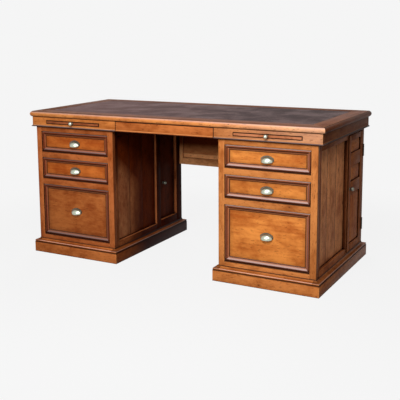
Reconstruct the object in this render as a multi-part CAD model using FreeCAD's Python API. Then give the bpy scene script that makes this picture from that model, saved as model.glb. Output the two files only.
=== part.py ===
import FreeCAD, Part
import math
import os
from FreeCAD import Vector

# Partners desk: leather-topped frieze on two pedestals.
# Millimetres. X runs along the length, to the right as seen from the drawer front; Y runs to the back;
# Z is up from the floor. The desk is drawn about its own centre planes and shifted once, when it is
# saved, so that the origin lies under the middle of its whole depth, handles included.

# ---- overall sizes
TOP_LENGTH = 1676.0
TOP_DEPTH = 762.0
DESK_HEIGHT = 787.0
TOP_THICKNESS = 29.0
FRIEZE_HEIGHT = 54.0
FRIEZE_SETBACK_SIDE = 13.0          # frieze face behind the top's edge, at the ends
FRIEZE_SETBACK_FRONT = 8.0          # the same at front and back
PEDESTAL_WIDTH = 498.0
PEDESTAL_SETBACK_SIDE = 21.5        # pedestal face behind the frieze face
PEDESTAL_SETBACK_FRONT = 6.0

# ---- timber sections
BORDER_WIDTH = 86.0
LEATHER_THICKNESS = 1.6
FRIEZE_THICKNESS = 22.0
FRAME_THICKNESS = 22.0              # face frame and side frames
BOARD_THICKNESS = 18.0              # pedestal tops and bottoms
PARTITION_THICKNESS = 16.0
PLANK_THICKNESS = 8.0
PLANK_WIDTH = 130.0
PLANK_CHAMFER = 1.2
BEARER_THICKNESS = 20.0
RUNNER_WIDTH = 30.0
RUNNER_THICKNESS = 18.0
GUIDE_HEIGHT = 20.0

# ---- plinth and edge mouldings
EDGE_QUIRK = 2.4                    # step between the top's face and its rounded edge
EDGE_ROUND = 6.5
PLINTH_HEIGHT = 56.5
PLINTH_THICKNESS = 23.0
BASE_MOULDING_HEIGHT = 21.5
BASE_MOULDING_WIDTH = 20.0
CARCASS_FOOT = 30.0                 # the carcass stands inside the plinth from here up
BEAD_PROJECTION = 5.0
BEAD_HEIGHT = 10.0

# ---- face frame: heights of what shows above the base moulding
STILE_WIDTH = 32.0
TOP_RAIL_HEIGHT = 26.0
TOP_DRAWER_HEIGHT = 111.0
MIDDLE_DRAWER_HEIGHT = 113.5
DRAWER_RAIL_HEIGHT = 34.0
BOTTOM_RAIL_HEIGHT = 24.0

# ---- drawers
DRAWER_SECTION_DEPTH = 439.0        # from the face frame's front to the partition
DRAWER_GAP = 1.5
FRONT_THICKNESS = 20.0
PANEL_RECESS = 8.5                  # drawer panel behind the face frame
MOULDING_WIDTH = 23.0
MOULDING_CREST = 7.5
BOX_SIDE = 12.0
BOX_BOTTOM = 6.0
BOX_BOTTOM_LIFT = 6.0
BOX_GROOVE = 5.0
BOX_CLEARANCE = 0.5
BOX_LIFT = 0.3                      # running clearance over the runners
BOX_BACK_GAP = 25.5
BOX_TOP_GAP = 18.0                  # box sides below the opening's top edge
DRAWER_HOLD = 55.0                  # length of box that stays inside at full travel
TAIL_PITCH = 52.0
TAIL_LENGTH = 12.0
TAIL_FLARE = 2.0

# ---- centre drawer
CENTRE_END_MARGIN = 22.0            # from the drawer's end to the pedestal's kneehole side
CENTRE_BOX_LENGTH = 480.0
CENTRE_FRONT_GAP = 2.0              # from the back of its front to the bearers
CENTRE_RUNNER_HEIGHT = 7.7
CENTRE_RUNNER_WIDTH = 22.0
CENTRE_BOTTOM_LIFT = 2.0
CENTRE_BEARER_GAP = 1.0
CENTRE_HOLD = 80.0

# ---- writing slides
SLIDE_WIDTH = 346.0
SLIDE_HEIGHT = 18.5
SLIDE_LEVEL = 26.7                  # slide centre above the frieze's lower edge
SLIDE_OFFSET = 2.5                  # slide centre outboard of the pedestal centre
SLIDE_BOARD_THICKNESS = 16.0
SLIDE_BOARD_LENGTH = 420.0
SLIDE_BOARD_INSET = 0.3
SLIDE_LIP = 14.0
SLIDE_PROUD = 2.0
SLIDE_RECESS = 1.2                  # middle of the lip behind its rounded edges
SLIDE_EDGE = 1.4
SLIDE_GAP = 0.8
SLIDE_HOLD = 100.0

# ---- side frames
CORNER_STILE = 23.0                 # side stile behind the face frame
SIDE_TOP_RAIL = 34.0
SIDE_BOTTOM_RAIL = 29.0
PLANK_RECESS = FRAME_THICKNESS - PLANK_THICKNESS
OUTER_MID_STILE = 20.0
OUTER_REAR_STILE = 29.0
POST_THICKNESS = 36.0
POST_WIDTH = 45.0
INNER_REAR_POST = 62.0
DOOR_SILL = 42.0

# ---- outer door
OUTER_DOOR_LIFT = 7.0               # door's lower edge above the base moulding
OUTER_DOOR_DROP = 18.0              # door's upper edge below the carcass top
OUTER_DOOR_THICKNESS = 20.0
OUTER_DOOR_PROUD = 5.0
OUTER_DOOR_GAP = 1.0
LATCH_STILE = 30.0
HINGE_STILE = 46.0
DOOR_TOP_RAIL = 27.0
DOOR_UPPER_PANEL = 66.0
DOOR_UPPER_RAIL = 68.0
DOOR_MIDDLE_PANEL = 79.0
DOOR_LOCK_RAIL = 63.0
DOOR_BOTTOM_RAIL = 35.0
FIELD_THICKNESS = 6.0
FIELD_RISE = 6.0
FIELD_EDGE = 3.0
FIELD_MARGIN = 20.0
FIELD_SETBACK = 2.0                 # field face behind the door frame's face

# ---- inner door
INNER_DOOR_RECESS = 18.0
INNER_DOOR_THICKNESS = 16.0
INNER_DOOR_GAP = 1.5
INNER_KNOB_INSET = 54.0
INNER_KNOB_RISE = 211.5
PIVOT_RADIUS = 2.5
PIVOT_LENGTH = 12.0                 # what enters the rail
PIVOT_CLEARANCE = 0.05

# ---- butt hinges of the outer door
HINGE_HEIGHT = 64.0
HINGE_INSETS = (100.0, 104.0)       # hinge centres from the door's bottom and top
LEAF_THICKNESS = 1.6
LEAF_GAP = 0.4
LEAF_DEPTH = 17.0
KNUCKLE_RADIUS = 3.2
KNUCKLE_COUNT = 3
KNUCKLE_GAP = 0.3
HINGE_PIN_RADIUS = 1.8
HINGE_PIN_CLEARANCE = 0.05

# ---- turned knob
KNOB_BALL = 10.5
KNOB_LENGTH = 25.0
KNOB_NECK = 4.5
KNOB_FOOT = 6.2
KNOB_FOOT_HEIGHT = 2.5
KNOB_SIDES = 16                     # flats round the knob
KNOB_BANDS = 5                      # flats from its neck to its crown

# ---- cup pull
CUP_HALF_WIDTH = 29.0
CUP_DEPTH = 24.0
CUP_END = 10.0                      # height of its upright ends
CUP_WALL = 2.2
CUP_LIP_ANGLE = 14.0                # the lip runs this far below the horizontal
CUP_FLANGE = 3.5
CUP_FLANGE_THICKNESS = 2.0
CUP_BANDS = 8                       # flats across its arch
CUP_STEPS = 6                       # flats from the wall to its lip
CUP_LIFT = 8.0                      # the bottom drawer's pull sits this far above its middle

# ---- rear apron
APRON_THICKNESS = 20.0
APRON_HEIGHT = 286.0
APRON_RAIL = 39.0
APRON_STILE = 22.0
APRON_RECESS = 8.0
APRON_PANEL = 8.0
APRON_LOWER_BOARD = 27.0
APRON_SETBACK = 2.0                 # from the pedestals' back face

# ---- cupboard
SHELF_RISE = 298.0
SHELF_THICKNESS = 16.0
SHELF_CLEARANCE = 1.0
CLEAT = 14.0

# ---- locating dowels
DOWEL_RADIUS = 5.0
DOWEL_LENGTH = 15.0                 # what stands above the pedestal
DOWEL_INSET = 60.0
DOWEL_CLEARANCE = 0.05

ARC_FLATS = 4                       # flats along each arc of a profile
ROD_SIDES = 12                      # flats round dowels, knuckles and the slides' ends
OVERCUT = 1.0                       # how far a cutting shape runs past what it cuts
TOUCHING = 1e-6                     # corners nearer than this are one corner

# ---- planes that follow from the sizes above
TOP_HALF = TOP_LENGTH / 2
TOP_HALF_DEPTH = TOP_DEPTH / 2
TOP_UNDERSIDE = DESK_HEIGHT - TOP_THICKNESS
FRIEZE_BOTTOM = TOP_UNDERSIDE - FRIEZE_HEIGHT
FRIEZE_HALF = TOP_HALF - FRIEZE_SETBACK_SIDE
FRIEZE_HALF_DEPTH = TOP_HALF_DEPTH - FRIEZE_SETBACK_FRONT
FRIEZE_FACE_Y = -FRIEZE_HALF_DEPTH
FRIEZE_INSIDE_Y = FRIEZE_HALF_DEPTH - FRIEZE_THICKNESS
OUTER_X = FRIEZE_HALF - PEDESTAL_SETBACK_SIDE
INNER_X = OUTER_X - PEDESTAL_WIDTH
CENTRE_X = (OUTER_X + INNER_X) / 2
BACK_Y = FRIEZE_HALF_DEPTH - PEDESTAL_SETBACK_FRONT
FACE_Y = -BACK_Y
FRAME_BACK_Y = FACE_Y + FRAME_THICKNESS
REAR_INSIDE_Y = BACK_Y - FRAME_THICKNESS
INNER_FRAME_X = INNER_X + FRAME_THICKNESS
OUTER_FRAME_X = OUTER_X - FRAME_THICKNESS
POST_X = INNER_X + POST_THICKNESS
PLANKS_FRONT = FRAME_BACK_Y + CORNER_STILE
PLANKS_REAR = FACE_Y + DRAWER_SECTION_DEPTH
PARTITION_REAR = PLANKS_REAR + PARTITION_THICKNESS
PLINTH_HALF_DEPTH = BACK_Y + PLINTH_THICKNESS

BODY_TOP = FRIEZE_BOTTOM
BODY_BOTTOM = PLINTH_HEIGHT + BASE_MOULDING_HEIGHT
PANEL_TOP = BODY_TOP - SIDE_TOP_RAIL
PANEL_BOTTOM = BODY_BOTTOM + SIDE_BOTTOM_RAIL
SILL_TOP = BODY_BOTTOM + DOOR_SILL
FLOOR_BOARD_TOP = BODY_BOTTOM + BOTTOM_RAIL_HEIGHT
FLOOR_BOARD_BOTTOM = FLOOR_BOARD_TOP - BOARD_THICKNESS
CEILING_BOTTOM = BODY_TOP - BOARD_THICKNESS
SHELF_TOP = FLOOR_BOARD_TOP + SHELF_RISE
TOP_OPENING_HIGH = BODY_TOP - TOP_RAIL_HEIGHT
TOP_OPENING_LOW = TOP_OPENING_HIGH - TOP_DRAWER_HEIGHT
MIDDLE_OPENING_HIGH = TOP_OPENING_LOW - DRAWER_RAIL_HEIGHT
MIDDLE_OPENING_LOW = MIDDLE_OPENING_HIGH - MIDDLE_DRAWER_HEIGHT
DRAWER_OPENINGS = {
    "top": (TOP_OPENING_LOW, TOP_OPENING_HIGH),
    "middle": (MIDDLE_OPENING_LOW, MIDDLE_OPENING_HIGH),
    "bottom": (FLOOR_BOARD_TOP, MIDDLE_OPENING_LOW - DRAWER_RAIL_HEIGHT),
}

OPENING_HALF = PEDESTAL_WIDTH / 2 - STILE_WIDTH
DRAWER_HALF = OPENING_HALF - DRAWER_GAP
DRAWER_PANEL_Y = FACE_Y + PANEL_RECESS
BOX_FRONT_Y = DRAWER_PANEL_Y + FRONT_THICKNESS
BOX_REAR_Y = PLANKS_REAR - BOX_BACK_GAP
DRAWER_TRAVEL = BOX_REAR_Y - BOX_FRONT_Y - DRAWER_HOLD
CENTRE_HALF = INNER_X - CENTRE_END_MARGIN
CENTRE_TRAVEL = CENTRE_BOX_LENGTH - CENTRE_HOLD
CENTRE_BOX_FRONT = -FRIEZE_INSIDE_Y - CENTRE_FRONT_GAP
CENTRE_BOX_LOW = FRIEZE_BOTTOM + CENTRE_RUNNER_HEIGHT + BOX_LIFT
CENTRE_BOX_HIGH = TOP_UNDERSIDE - CENTRE_RUNNER_HEIGHT - BOX_CLEARANCE
SLIDE_CENTRE_Z = FRIEZE_BOTTOM + SLIDE_LEVEL
SLIDE_TRAVEL = SLIDE_BOARD_LENGTH - SLIDE_HOLD
HANDLE_REACH = FRIEZE_HALF_DEPTH + SLIDE_PROUD - SLIDE_RECESS + KNOB_LENGTH
ORIGIN_SHIFT_Y = (HANDLE_REACH - PLINTH_HALF_DEPTH) / 2

OUTER_DOOR_LOW = BODY_BOTTOM + OUTER_DOOR_LIFT
OUTER_DOOR_HIGH = BODY_TOP - OUTER_DOOR_DROP
DOOR_FACE_X = OUTER_X + OUTER_DOOR_PROUD
DOOR_FRONT_Y = PLANKS_REAR + OUTER_MID_STILE + OUTER_DOOR_GAP
HINGE_AXIS_Y = BACK_Y - OUTER_REAR_STILE - LEAF_THICKNESS - LEAF_GAP / 2
HINGE_AXIS_X = DOOR_FACE_X + KNUCKLE_RADIUS + KNUCKLE_GAP
DOOR_REAR_Y = HINGE_AXIS_Y - LEAF_THICKNESS - LEAF_GAP / 2
HINGE_CENTRES = (OUTER_DOOR_LOW + HINGE_INSETS[0], OUTER_DOOR_HIGH - HINGE_INSETS[1])
UPPER_PANEL_HIGH = OUTER_DOOR_HIGH - DOOR_TOP_RAIL
UPPER_PANEL_LOW = UPPER_PANEL_HIGH - DOOR_UPPER_PANEL
MIDDLE_PANEL_HIGH = UPPER_PANEL_LOW - DOOR_UPPER_RAIL
MIDDLE_PANEL_LOW = MIDDLE_PANEL_HIGH - DOOR_MIDDLE_PANEL
TALL_PANEL_HIGH = MIDDLE_PANEL_LOW - DOOR_LOCK_RAIL
DOOR_RAILS = (
    (OUTER_DOOR_LOW, OUTER_DOOR_LOW + DOOR_BOTTOM_RAIL),
    (TALL_PANEL_HIGH, MIDDLE_PANEL_LOW),
    (MIDDLE_PANEL_HIGH, UPPER_PANEL_LOW),
    (UPPER_PANEL_HIGH, OUTER_DOOR_HIGH),
)
OUTER_KNOB_Z = (TALL_PANEL_HIGH + MIDDLE_PANEL_LOW) / 2

INNER_DOOR_FACE_X = INNER_X + INNER_DOOR_RECESS
PIVOT_X = INNER_DOOR_FACE_X + INNER_DOOR_THICKNESS / 2
INNER_DOOR_FRONT = PLANKS_REAR + POST_WIDTH + INNER_DOOR_GAP
INNER_DOOR_REAR = BACK_Y - INNER_REAR_POST - INNER_DOOR_GAP
PIVOT_Y = INNER_DOOR_REAR - INNER_DOOR_THICKNESS / 2
INNER_DOOR_LOW = SILL_TOP + INNER_DOOR_GAP
INNER_DOOR_HIGH = PANEL_TOP - INNER_DOOR_GAP


# ---- profiles, drawn on a unit square: (inward, up), and a pair is an arc (through, to)
DRAWER_MOULDING = [
    (0.0, 0.0),
    (0.0, 0.5),
    (0.05, 0.5),
    ((0.15, 0.93), (0.35, 1.0)),
    (0.42, 1.0),
    (0.42, 0.84),
    ((0.62, 0.36), (0.93, 0.2)),
    (1.0, 0.2),
    (1.0, 0.0),
]
BASE_MOULDING = [
    (0.0, 0.0),
    (-1.0, 0.0),
    (-1.0, 0.06),
    ((-1.13, 0.28), (-0.82, 0.49)),
    (-0.59, 0.49),
    ((-0.22, 0.63), (-0.08, 1.0)),
    (0.0, 1.0),
]
FRIEZE_LIP = [(0.0, 0.0), (-1.0, 0.0), (-1.0, 0.25), ((-0.42, 0.5), (0.0, 1.0))]


# ---- building blocks
def box(x0, x1, y0, y1, z0, z1):
    """Box between two pairs of planes in each direction; the two X planes may come in either order."""
    return Part.makeBox(abs(x1 - x0), y1 - y0, z1 - z0, Vector(min(x0, x1), y0, z0))


def rod(radius, length, foot):
    """Upright round bar with flat sides, standing on foot."""
    points = []
    for index in range(ROD_SIDES):
        turn = 2 * math.pi * (index + 0.5) / ROD_SIDES
        points.append(foot + Vector(radius * math.cos(turn), radius * math.sin(turn), 0))
    return polygon(points).extrude(Vector(0, 0, length))


def scaled(steps, width, height):
    """A unit profile at its real width and height."""
    result = []
    for step in steps:
        if isinstance(step[0], tuple):
            result.append(tuple((a * width, b * height) for a, b in step))
        else:
            result.append((step[0] * width, step[1] * height))
    return result


def outline(steps, place):
    """Closed face through the steps of a profile; place turns a step's two numbers into a point."""
    points = []
    for step in steps:
        if isinstance(step[0], tuple):
            arc = Part.Arc(points[-1], place(*step[0]), place(*step[1]))
            points += arc.discretize(Number=ARC_FLATS + 1)[1:]
        else:
            points.append(place(*step))
    return polygon(points)


def polygon(points):
    return Part.Face(Part.makePolygon(points + points[:1]))


def mitred_ring(steps, half_x, half_y, reach):
    """Four lengths of moulding round a rectangle, mitred at its corners, each at least reach beyond them."""
    lengths = []
    for turn in range(4):
        along, across = (half_x, half_y) if turn % 2 == 0 else (half_y, half_x)
        start = -along - reach
        face = outline(steps, lambda inward, up: Vector(start, inward - across, up))
        bar = face.extrude(Vector(2 * (along + reach), 0, 0))
        low, high = bar.BoundBox.ZMin - OVERCUT, bar.BoundBox.ZMax + OVERCUT
        corners = [
            Vector(-along - reach, -across - reach, low),
            Vector(along + reach, -across - reach, low),
            Vector(along - reach, reach - across, low),
            Vector(reach - along, reach - across, low),
        ]
        bar = bar.common(polygon(corners).extrude(Vector(0, 0, high - low)))
        bar.rotate(Vector(0, 0, 0), Vector(0, 0, 1), 90 * turn)
        lengths.extend(bar.Solids)
    return lengths


def moved(shape, x=0.0, y=0.0, z=0.0):
    copy = shape.copy()
    copy.translate(Vector(x, y, z))
    return copy


def facing(shape, direction):
    """Turns a piece that stands along +Z so that it points along direction."""
    copy = shape.copy()
    copy.Placement = FreeCAD.Placement(Vector(0, 0, 0), FreeCAD.Rotation(Vector(0, 0, 1), direction))
    return copy


def planks(start, stop, bottom, top):
    """Upright boards side by side along Y on the plane x = 0, faces towards +X, edges chamfered to a V."""
    count = max(1, round((stop - start) / PLANK_WIDTH))
    width = (stop - start) / count
    back, c = -PLANK_THICKNESS, PLANK_CHAMFER
    boards = []
    for index in range(count):
        low, high = start + index * width, start + (index + 1) * width
        corners = [(back, low), (-c, low), (0.0, low + c), (0.0, high - c), (-c, high), (back, high)]
        face = polygon([Vector(x, y, bottom) for x, y in corners])
        boards.append(face.extrude(Vector(0, 0, top - bottom)))
    return boards


def turned(profile, steps, step_angle):
    """Solid that a profile (radius, along), its ends on the axis, sweeps about +Z in flat steps."""
    closed = math.isclose(steps * step_angle, 360)
    rings = []
    for index in range(steps if closed else steps + 1):
        turn = math.radians(index * step_angle)
        rings.append([Vector(r * math.cos(turn), r * math.sin(turn), along) for r, along in profile])
    faces = [] if closed else [polygon(rings[0]), polygon(rings[-1])]
    for index in range(steps):
        near, far = rings[index], rings[(index + 1) % len(rings)]
        for low in range(len(profile) - 1):
            corners = [near[low], near[low + 1], far[low + 1], far[low]]
            corners = [c for n, c in enumerate(corners) if not c.isEqual(corners[n - 1], TOUCHING)]
            faces.append(polygon(corners))
    shell = Part.makeShell(faces)
    shell.sewShape()
    solid = Part.makeSolid(shell)
    if solid.Volume < 0:
        solid.reverse()
    return solid.removeSplitter()


def knob():
    """Turned ball knob standing on z = 0."""
    ball_z = KNOB_LENGTH - KNOB_BALL
    start = -math.acos(KNOB_NECK / KNOB_BALL)
    profile = [(0.0, 0.0), (KNOB_FOOT, 0.0), (KNOB_FOOT, KNOB_FOOT_HEIGHT / 2), (KNOB_NECK, KNOB_FOOT_HEIGHT)]
    for index in range(KNOB_BANDS):
        rise = start + (math.pi / 2 - start) * index / KNOB_BANDS
        profile.append((KNOB_BALL * math.cos(rise), ball_z + KNOB_BALL * math.sin(rise)))
    return turned(profile + [(0.0, KNOB_LENGTH)], KNOB_SIDES, 360 / KNOB_SIDES)


def cup_arch(inset):
    """Arched outline (height, across) of the cup against the wall, with short upright ends."""
    half, crown, end = CUP_HALF_WIDTH - inset, CUP_DEPTH - inset, CUP_END - inset
    radius = (half**2 + (crown - end) ** 2) / (2 * (crown - end))
    spread = math.asin(half / radius)
    points = [(0.0, -half)]
    for index in range(CUP_BANDS + 1):
        angle = spread * (2 * index / CUP_BANDS - 1)
        points.append((crown - radius + radius * math.cos(angle), radius * math.sin(angle)))
    return points + [(0.0, half)]


def cup_bowl(inset, steps):
    """The arch turned forward and down about the line through its feet, on the wall y = 0."""
    bowl = turned(cup_arch(inset), steps, (90 + CUP_LIP_ANGLE) / CUP_STEPS)
    bowl.rotate(Vector(0, 0, 0), Vector(1, 0, 1), 180)
    return bowl


def cup_pull():
    """Cast cup on the wall y = 0, open below, with a thin flange round its edge."""
    rim = polygon([Vector(across, 0, up) for up, across in cup_arch(-CUP_FLANGE)])
    cup = cup_bowl(0.0, CUP_STEPS).fuse(rim.extrude(Vector(0, -CUP_FLANGE_THICKNESS, 0)))
    past_lip = int(170 * CUP_STEPS / (90 + CUP_LIP_ANGLE))
    return cup.cut(cup_bowl(CUP_WALL, past_lip)).removeSplitter().Solids[0]


def fielded_panel(width, height):
    """Panel lying on z = 0 with bevelled margins that rise to a flat field."""
    base = box(-width / 2, width / 2, -height / 2, height / 2, 0, FIELD_THICKNESS)
    x0, y0, z0 = width / 2 - FIELD_EDGE, height / 2 - FIELD_EDGE, FIELD_THICKNESS
    x1, y1, z1 = width / 2 - FIELD_MARGIN, height / 2 - FIELD_MARGIN, FIELD_THICKNESS + FIELD_RISE
    field = Part.makeWedge(-y0, z0, -x0, -x1, -y1, y0, z1, x0, x1, y1)
    field.rotate(Vector(0, 0, 0), Vector(1, 1, 1), 120)
    return base.fuse(field).removeSplitter()


# ---- top and frieze
def top_border():
    steps = [
        (BORDER_WIDTH, TOP_UNDERSIDE),
        (EDGE_ROUND, TOP_UNDERSIDE),
        ((0.0, TOP_UNDERSIDE + (TOP_THICKNESS - EDGE_QUIRK) / 2), (EDGE_ROUND, DESK_HEIGHT - EDGE_QUIRK)),
        (EDGE_ROUND + EDGE_QUIRK, DESK_HEIGHT - EDGE_QUIRK),
        (EDGE_ROUND + EDGE_QUIRK, DESK_HEIGHT),
        (BORDER_WIDTH, DESK_HEIGHT),
    ]
    return mitred_ring(steps, TOP_HALF, TOP_HALF_DEPTH, BORDER_WIDTH + OVERCUT)


def inside_border(low, high):
    x, y = TOP_HALF - BORDER_WIDTH, TOP_HALF_DEPTH - BORDER_WIDTH
    return [box(-x, x, -y, y, low, high)]


def slide_centre(side):
    return side * (CENTRE_X + SLIDE_OFFSET)


def centre_gap():
    """Space taken out of the frieze for the centre drawer's front."""
    front = FRIEZE_FACE_Y - BEAD_PROJECTION - OVERCUT
    rear = FRIEZE_FACE_Y + FRIEZE_THICKNESS + OVERCUT
    return box(-CENTRE_HALF, CENTRE_HALF, front, rear, FRIEZE_BOTTOM - OVERCUT, TOP_UNDERSIDE + OVERCUT)


def slide_slot(side):
    x, z = slide_centre(side), SLIDE_CENTRE_Z
    half, tall = SLIDE_WIDTH / 2 + SLIDE_GAP, SLIDE_HEIGHT / 2 + SLIDE_GAP
    front, rear = FRIEZE_FACE_Y - OVERCUT, FRIEZE_FACE_Y + FRIEZE_THICKNESS + OVERCUT
    return box(x - half, x + half, front, rear, z - tall, z + tall)


def frieze_boards():
    t = FRIEZE_THICKNESS
    steps = [(0.0, FRIEZE_BOTTOM), (t, FRIEZE_BOTTOM), (t, TOP_UNDERSIDE), (0.0, TOP_UNDERSIDE)]
    boards = mitred_ring(steps, FRIEZE_HALF, FRIEZE_HALF_DEPTH, t + OVERCUT)
    cuts = [centre_gap(), slide_slot(-1), slide_slot(1)]
    return [solid for board in boards for solid in board.cut(cuts).Solids]


def frieze_bead():
    steps = scaled(FRIEZE_LIP, BEAD_PROJECTION, BEAD_HEIGHT)
    lengths = mitred_ring(steps, FRIEZE_HALF, FRIEZE_HALF_DEPTH, BEAD_PROJECTION + OVERCUT)
    lengths = [moved(length, 0, 0, FRIEZE_BOTTOM) for length in lengths]
    return [solid for length in lengths for solid in length.cut(centre_gap()).Solids]


def drawer_bearers():
    """Bearer, runner and kicker at each end of the centre drawer."""
    solids = []
    y0, y1 = -FRIEZE_INSIDE_Y, FRIEZE_INSIDE_Y
    wall = CENTRE_HALF + CENTRE_BEARER_GAP
    for side in (-1, 1):
        near, far, inner = side * wall, side * (wall + BEARER_THICKNESS), side * (wall - CENTRE_RUNNER_WIDTH)
        solids.append(box(near, far, y0, y1, FRIEZE_BOTTOM, TOP_UNDERSIDE))
        solids.append(box(inner, near, y0, y1, FRIEZE_BOTTOM, FRIEZE_BOTTOM + CENTRE_RUNNER_HEIGHT))
        solids.append(box(inner, near, y0, y1, TOP_UNDERSIDE - CENTRE_RUNNER_HEIGHT, TOP_UNDERSIDE))
    return solids


def slide_guides():
    """Side guide, bearer and kicker along both edges of each writing slide."""
    solids = []
    y0, y1 = -FRIEZE_INSIDE_Y, FRIEZE_INSIDE_Y
    half = SLIDE_WIDTH / 2 + SLIDE_GAP
    under = SLIDE_CENTRE_Z - SLIDE_BOARD_THICKNESS / 2 - BOX_LIFT
    over = SLIDE_CENTRE_Z + SLIDE_BOARD_THICKNESS / 2 + BOX_CLEARANCE
    for side in (-1, 1):
        for end in (-1, 1):
            edge = slide_centre(side) + end * half
            outer, inner = edge + end * BEARER_THICKNESS, edge - end * BEARER_THICKNESS
            solids.append(box(edge, outer, y0, y1, FRIEZE_BOTTOM, TOP_UNDERSIDE))
            solids.append(box(edge, inner, y0, y1, FRIEZE_BOTTOM, under))
            solids.append(box(edge, inner, y0, y1, over, TOP_UNDERSIDE))
    holes = dowels(DOWEL_CLEARANCE)
    return [solid.cut(holes).Solids[0] for solid in solids]


def dowels(clearance):
    """Stubs on each pedestal, at opposite corners, that enter the slides' side guides and locate the top."""
    rods = []
    reach = SLIDE_WIDTH / 2 + SLIDE_GAP + BEARER_THICKNESS / 2
    inset = FRIEZE_INSIDE_Y - DOWEL_INSET
    for side in (-1, 1):
        for corner in (-1, 1):
            foot = Vector(slide_centre(side) + side * corner * reach, corner * inset, BODY_TOP)
            rods.append(rod(DOWEL_RADIUS + clearance, DOWEL_LENGTH + clearance, foot))
    return rods


def rear_apron():
    """Framed panel across the back of the kneehole, with two boards in the frame."""
    rear = BACK_Y - APRON_SETBACK
    front = rear - APRON_THICKNESS
    bottom, top = BODY_TOP - APRON_HEIGHT, BODY_TOP
    stile = INNER_X - APRON_STILE
    solids = [box(side * stile, side * INNER_X, front, rear, bottom, top) for side in (-1, 1)]
    solids.append(box(-stile, stile, front, rear, bottom, bottom + APRON_RAIL))
    solids.append(box(-stile, stile, front, rear, top - APRON_RAIL, top))
    panel = front + APRON_RECESS
    levels = (bottom + APRON_RAIL, bottom + APRON_RAIL + APRON_LOWER_BOARD, top - APRON_RAIL)
    for low, high in zip(levels, levels[1:]):
        solids.append(box(-stile, stile, panel, panel + APRON_PANEL, low, high))
    return solids


# ---- pedestal, drawn as the right-hand one
def plinth():
    half_x, t = PEDESTAL_WIDTH / 2, PLINTH_THICKNESS
    skirt = [(-t, 0.0), (0.0, 0.0), (0.0, PLINTH_HEIGHT), (-t, PLINTH_HEIGHT)]
    lengths = mitred_ring(skirt, half_x, BACK_Y, t + OVERCUT)
    moulding = scaled(BASE_MOULDING, BASE_MOULDING_WIDTH, BASE_MOULDING_HEIGHT)
    for length in mitred_ring(moulding, half_x, BACK_Y, t + OVERCUT):
        lengths.append(moved(length, 0, 0, PLINTH_HEIGHT))
    return [moved(length, CENTRE_X) for length in lengths]


def face_frame():
    z0, z1 = CARCASS_FOOT, BODY_TOP
    left, right = CENTRE_X - OPENING_HALF, CENTRE_X + OPENING_HALF
    solids = [box(x0, x1, FACE_Y, FRAME_BACK_Y, z0, z1) for x0, x1 in ((INNER_X, left), (right, OUTER_X))]
    edges = sorted(level for opening in DRAWER_OPENINGS.values() for level in opening)
    levels = [z0] + edges + [z1]
    for low, high in zip(levels[0::2], levels[1::2]):
        solids.append(box(left, right, FACE_Y, FRAME_BACK_Y, low, high))
    return solids


def side_frames():
    z0, z1 = CARCASS_FOOT, BODY_TOP
    mid_rear, rear = PLANKS_REAR + OUTER_MID_STILE, BACK_Y - OUTER_REAR_STILE
    x0, x1 = OUTER_FRAME_X, OUTER_X
    solids = [
        box(x0, x1, FRAME_BACK_Y, PLANKS_FRONT, z0, z1),
        box(x0, x1, PLANKS_REAR, mid_rear, z0, z1),
        box(x0, x1, rear, BACK_Y, z0, z1),
        box(x0, x1, PLANKS_FRONT, PLANKS_REAR, PANEL_TOP, z1),
        box(x0, x1, PLANKS_FRONT, PLANKS_REAR, z0, PANEL_BOTTOM),
        box(x0, x1, mid_rear, rear, OUTER_DOOR_HIGH + OUTER_DOOR_GAP, z1),
        box(x0, x1, mid_rear, rear, z0, OUTER_DOOR_LOW - OUTER_DOOR_GAP),
    ]
    x0, x1, xp = INNER_X, INNER_FRAME_X, POST_X
    post_rear, door_rear = PLANKS_REAR + POST_WIDTH, BACK_Y - INNER_REAR_POST
    solids += [
        box(x0, x1, FRAME_BACK_Y, PLANKS_FRONT, z0, z1),
        box(x0, xp, PLANKS_REAR, post_rear, z0, z1),
        box(x0, xp, door_rear, BACK_Y, z0, z1),
        box(x0, x1, PLANKS_FRONT, PLANKS_REAR, PANEL_TOP, z1),
        box(x0, x1, PLANKS_FRONT, PLANKS_REAR, z0, PANEL_BOTTOM),
        box(x0, xp, post_rear, door_rear, PANEL_TOP, z1),
        box(x0, xp, post_rear, door_rear, z0, SILL_TOP),
    ]
    holes = pivot_pins(PIVOT_CLEARANCE)
    solids = [solid.cut(holes).Solids[0] for solid in solids]
    solids.append(box(POST_X, OUTER_FRAME_X, REAR_INSIDE_Y, BACK_Y, PANEL_TOP, z1))
    solids.append(box(POST_X, OUTER_FRAME_X, REAR_INSIDE_Y, BACK_Y, z0, PANEL_BOTTOM))
    return solids


def plank_panels():
    boards = []
    for board in planks(PLANKS_FRONT, PLANKS_REAR, PANEL_BOTTOM, PANEL_TOP):
        boards.append(moved(board, OUTER_X - PLANK_RECESS))
        boards.append(moved(board.mirror(Vector(0, 0, 0), Vector(1, 0, 0)), INNER_X + PLANK_RECESS))
    for board in planks(-OUTER_FRAME_X, -POST_X, PANEL_BOTTOM, PANEL_TOP):
        board.rotate(Vector(0, 0, 0), Vector(0, 0, 1), 90)
        boards.append(moved(board, 0, BACK_Y - PLANK_RECESS))
    return boards


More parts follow.
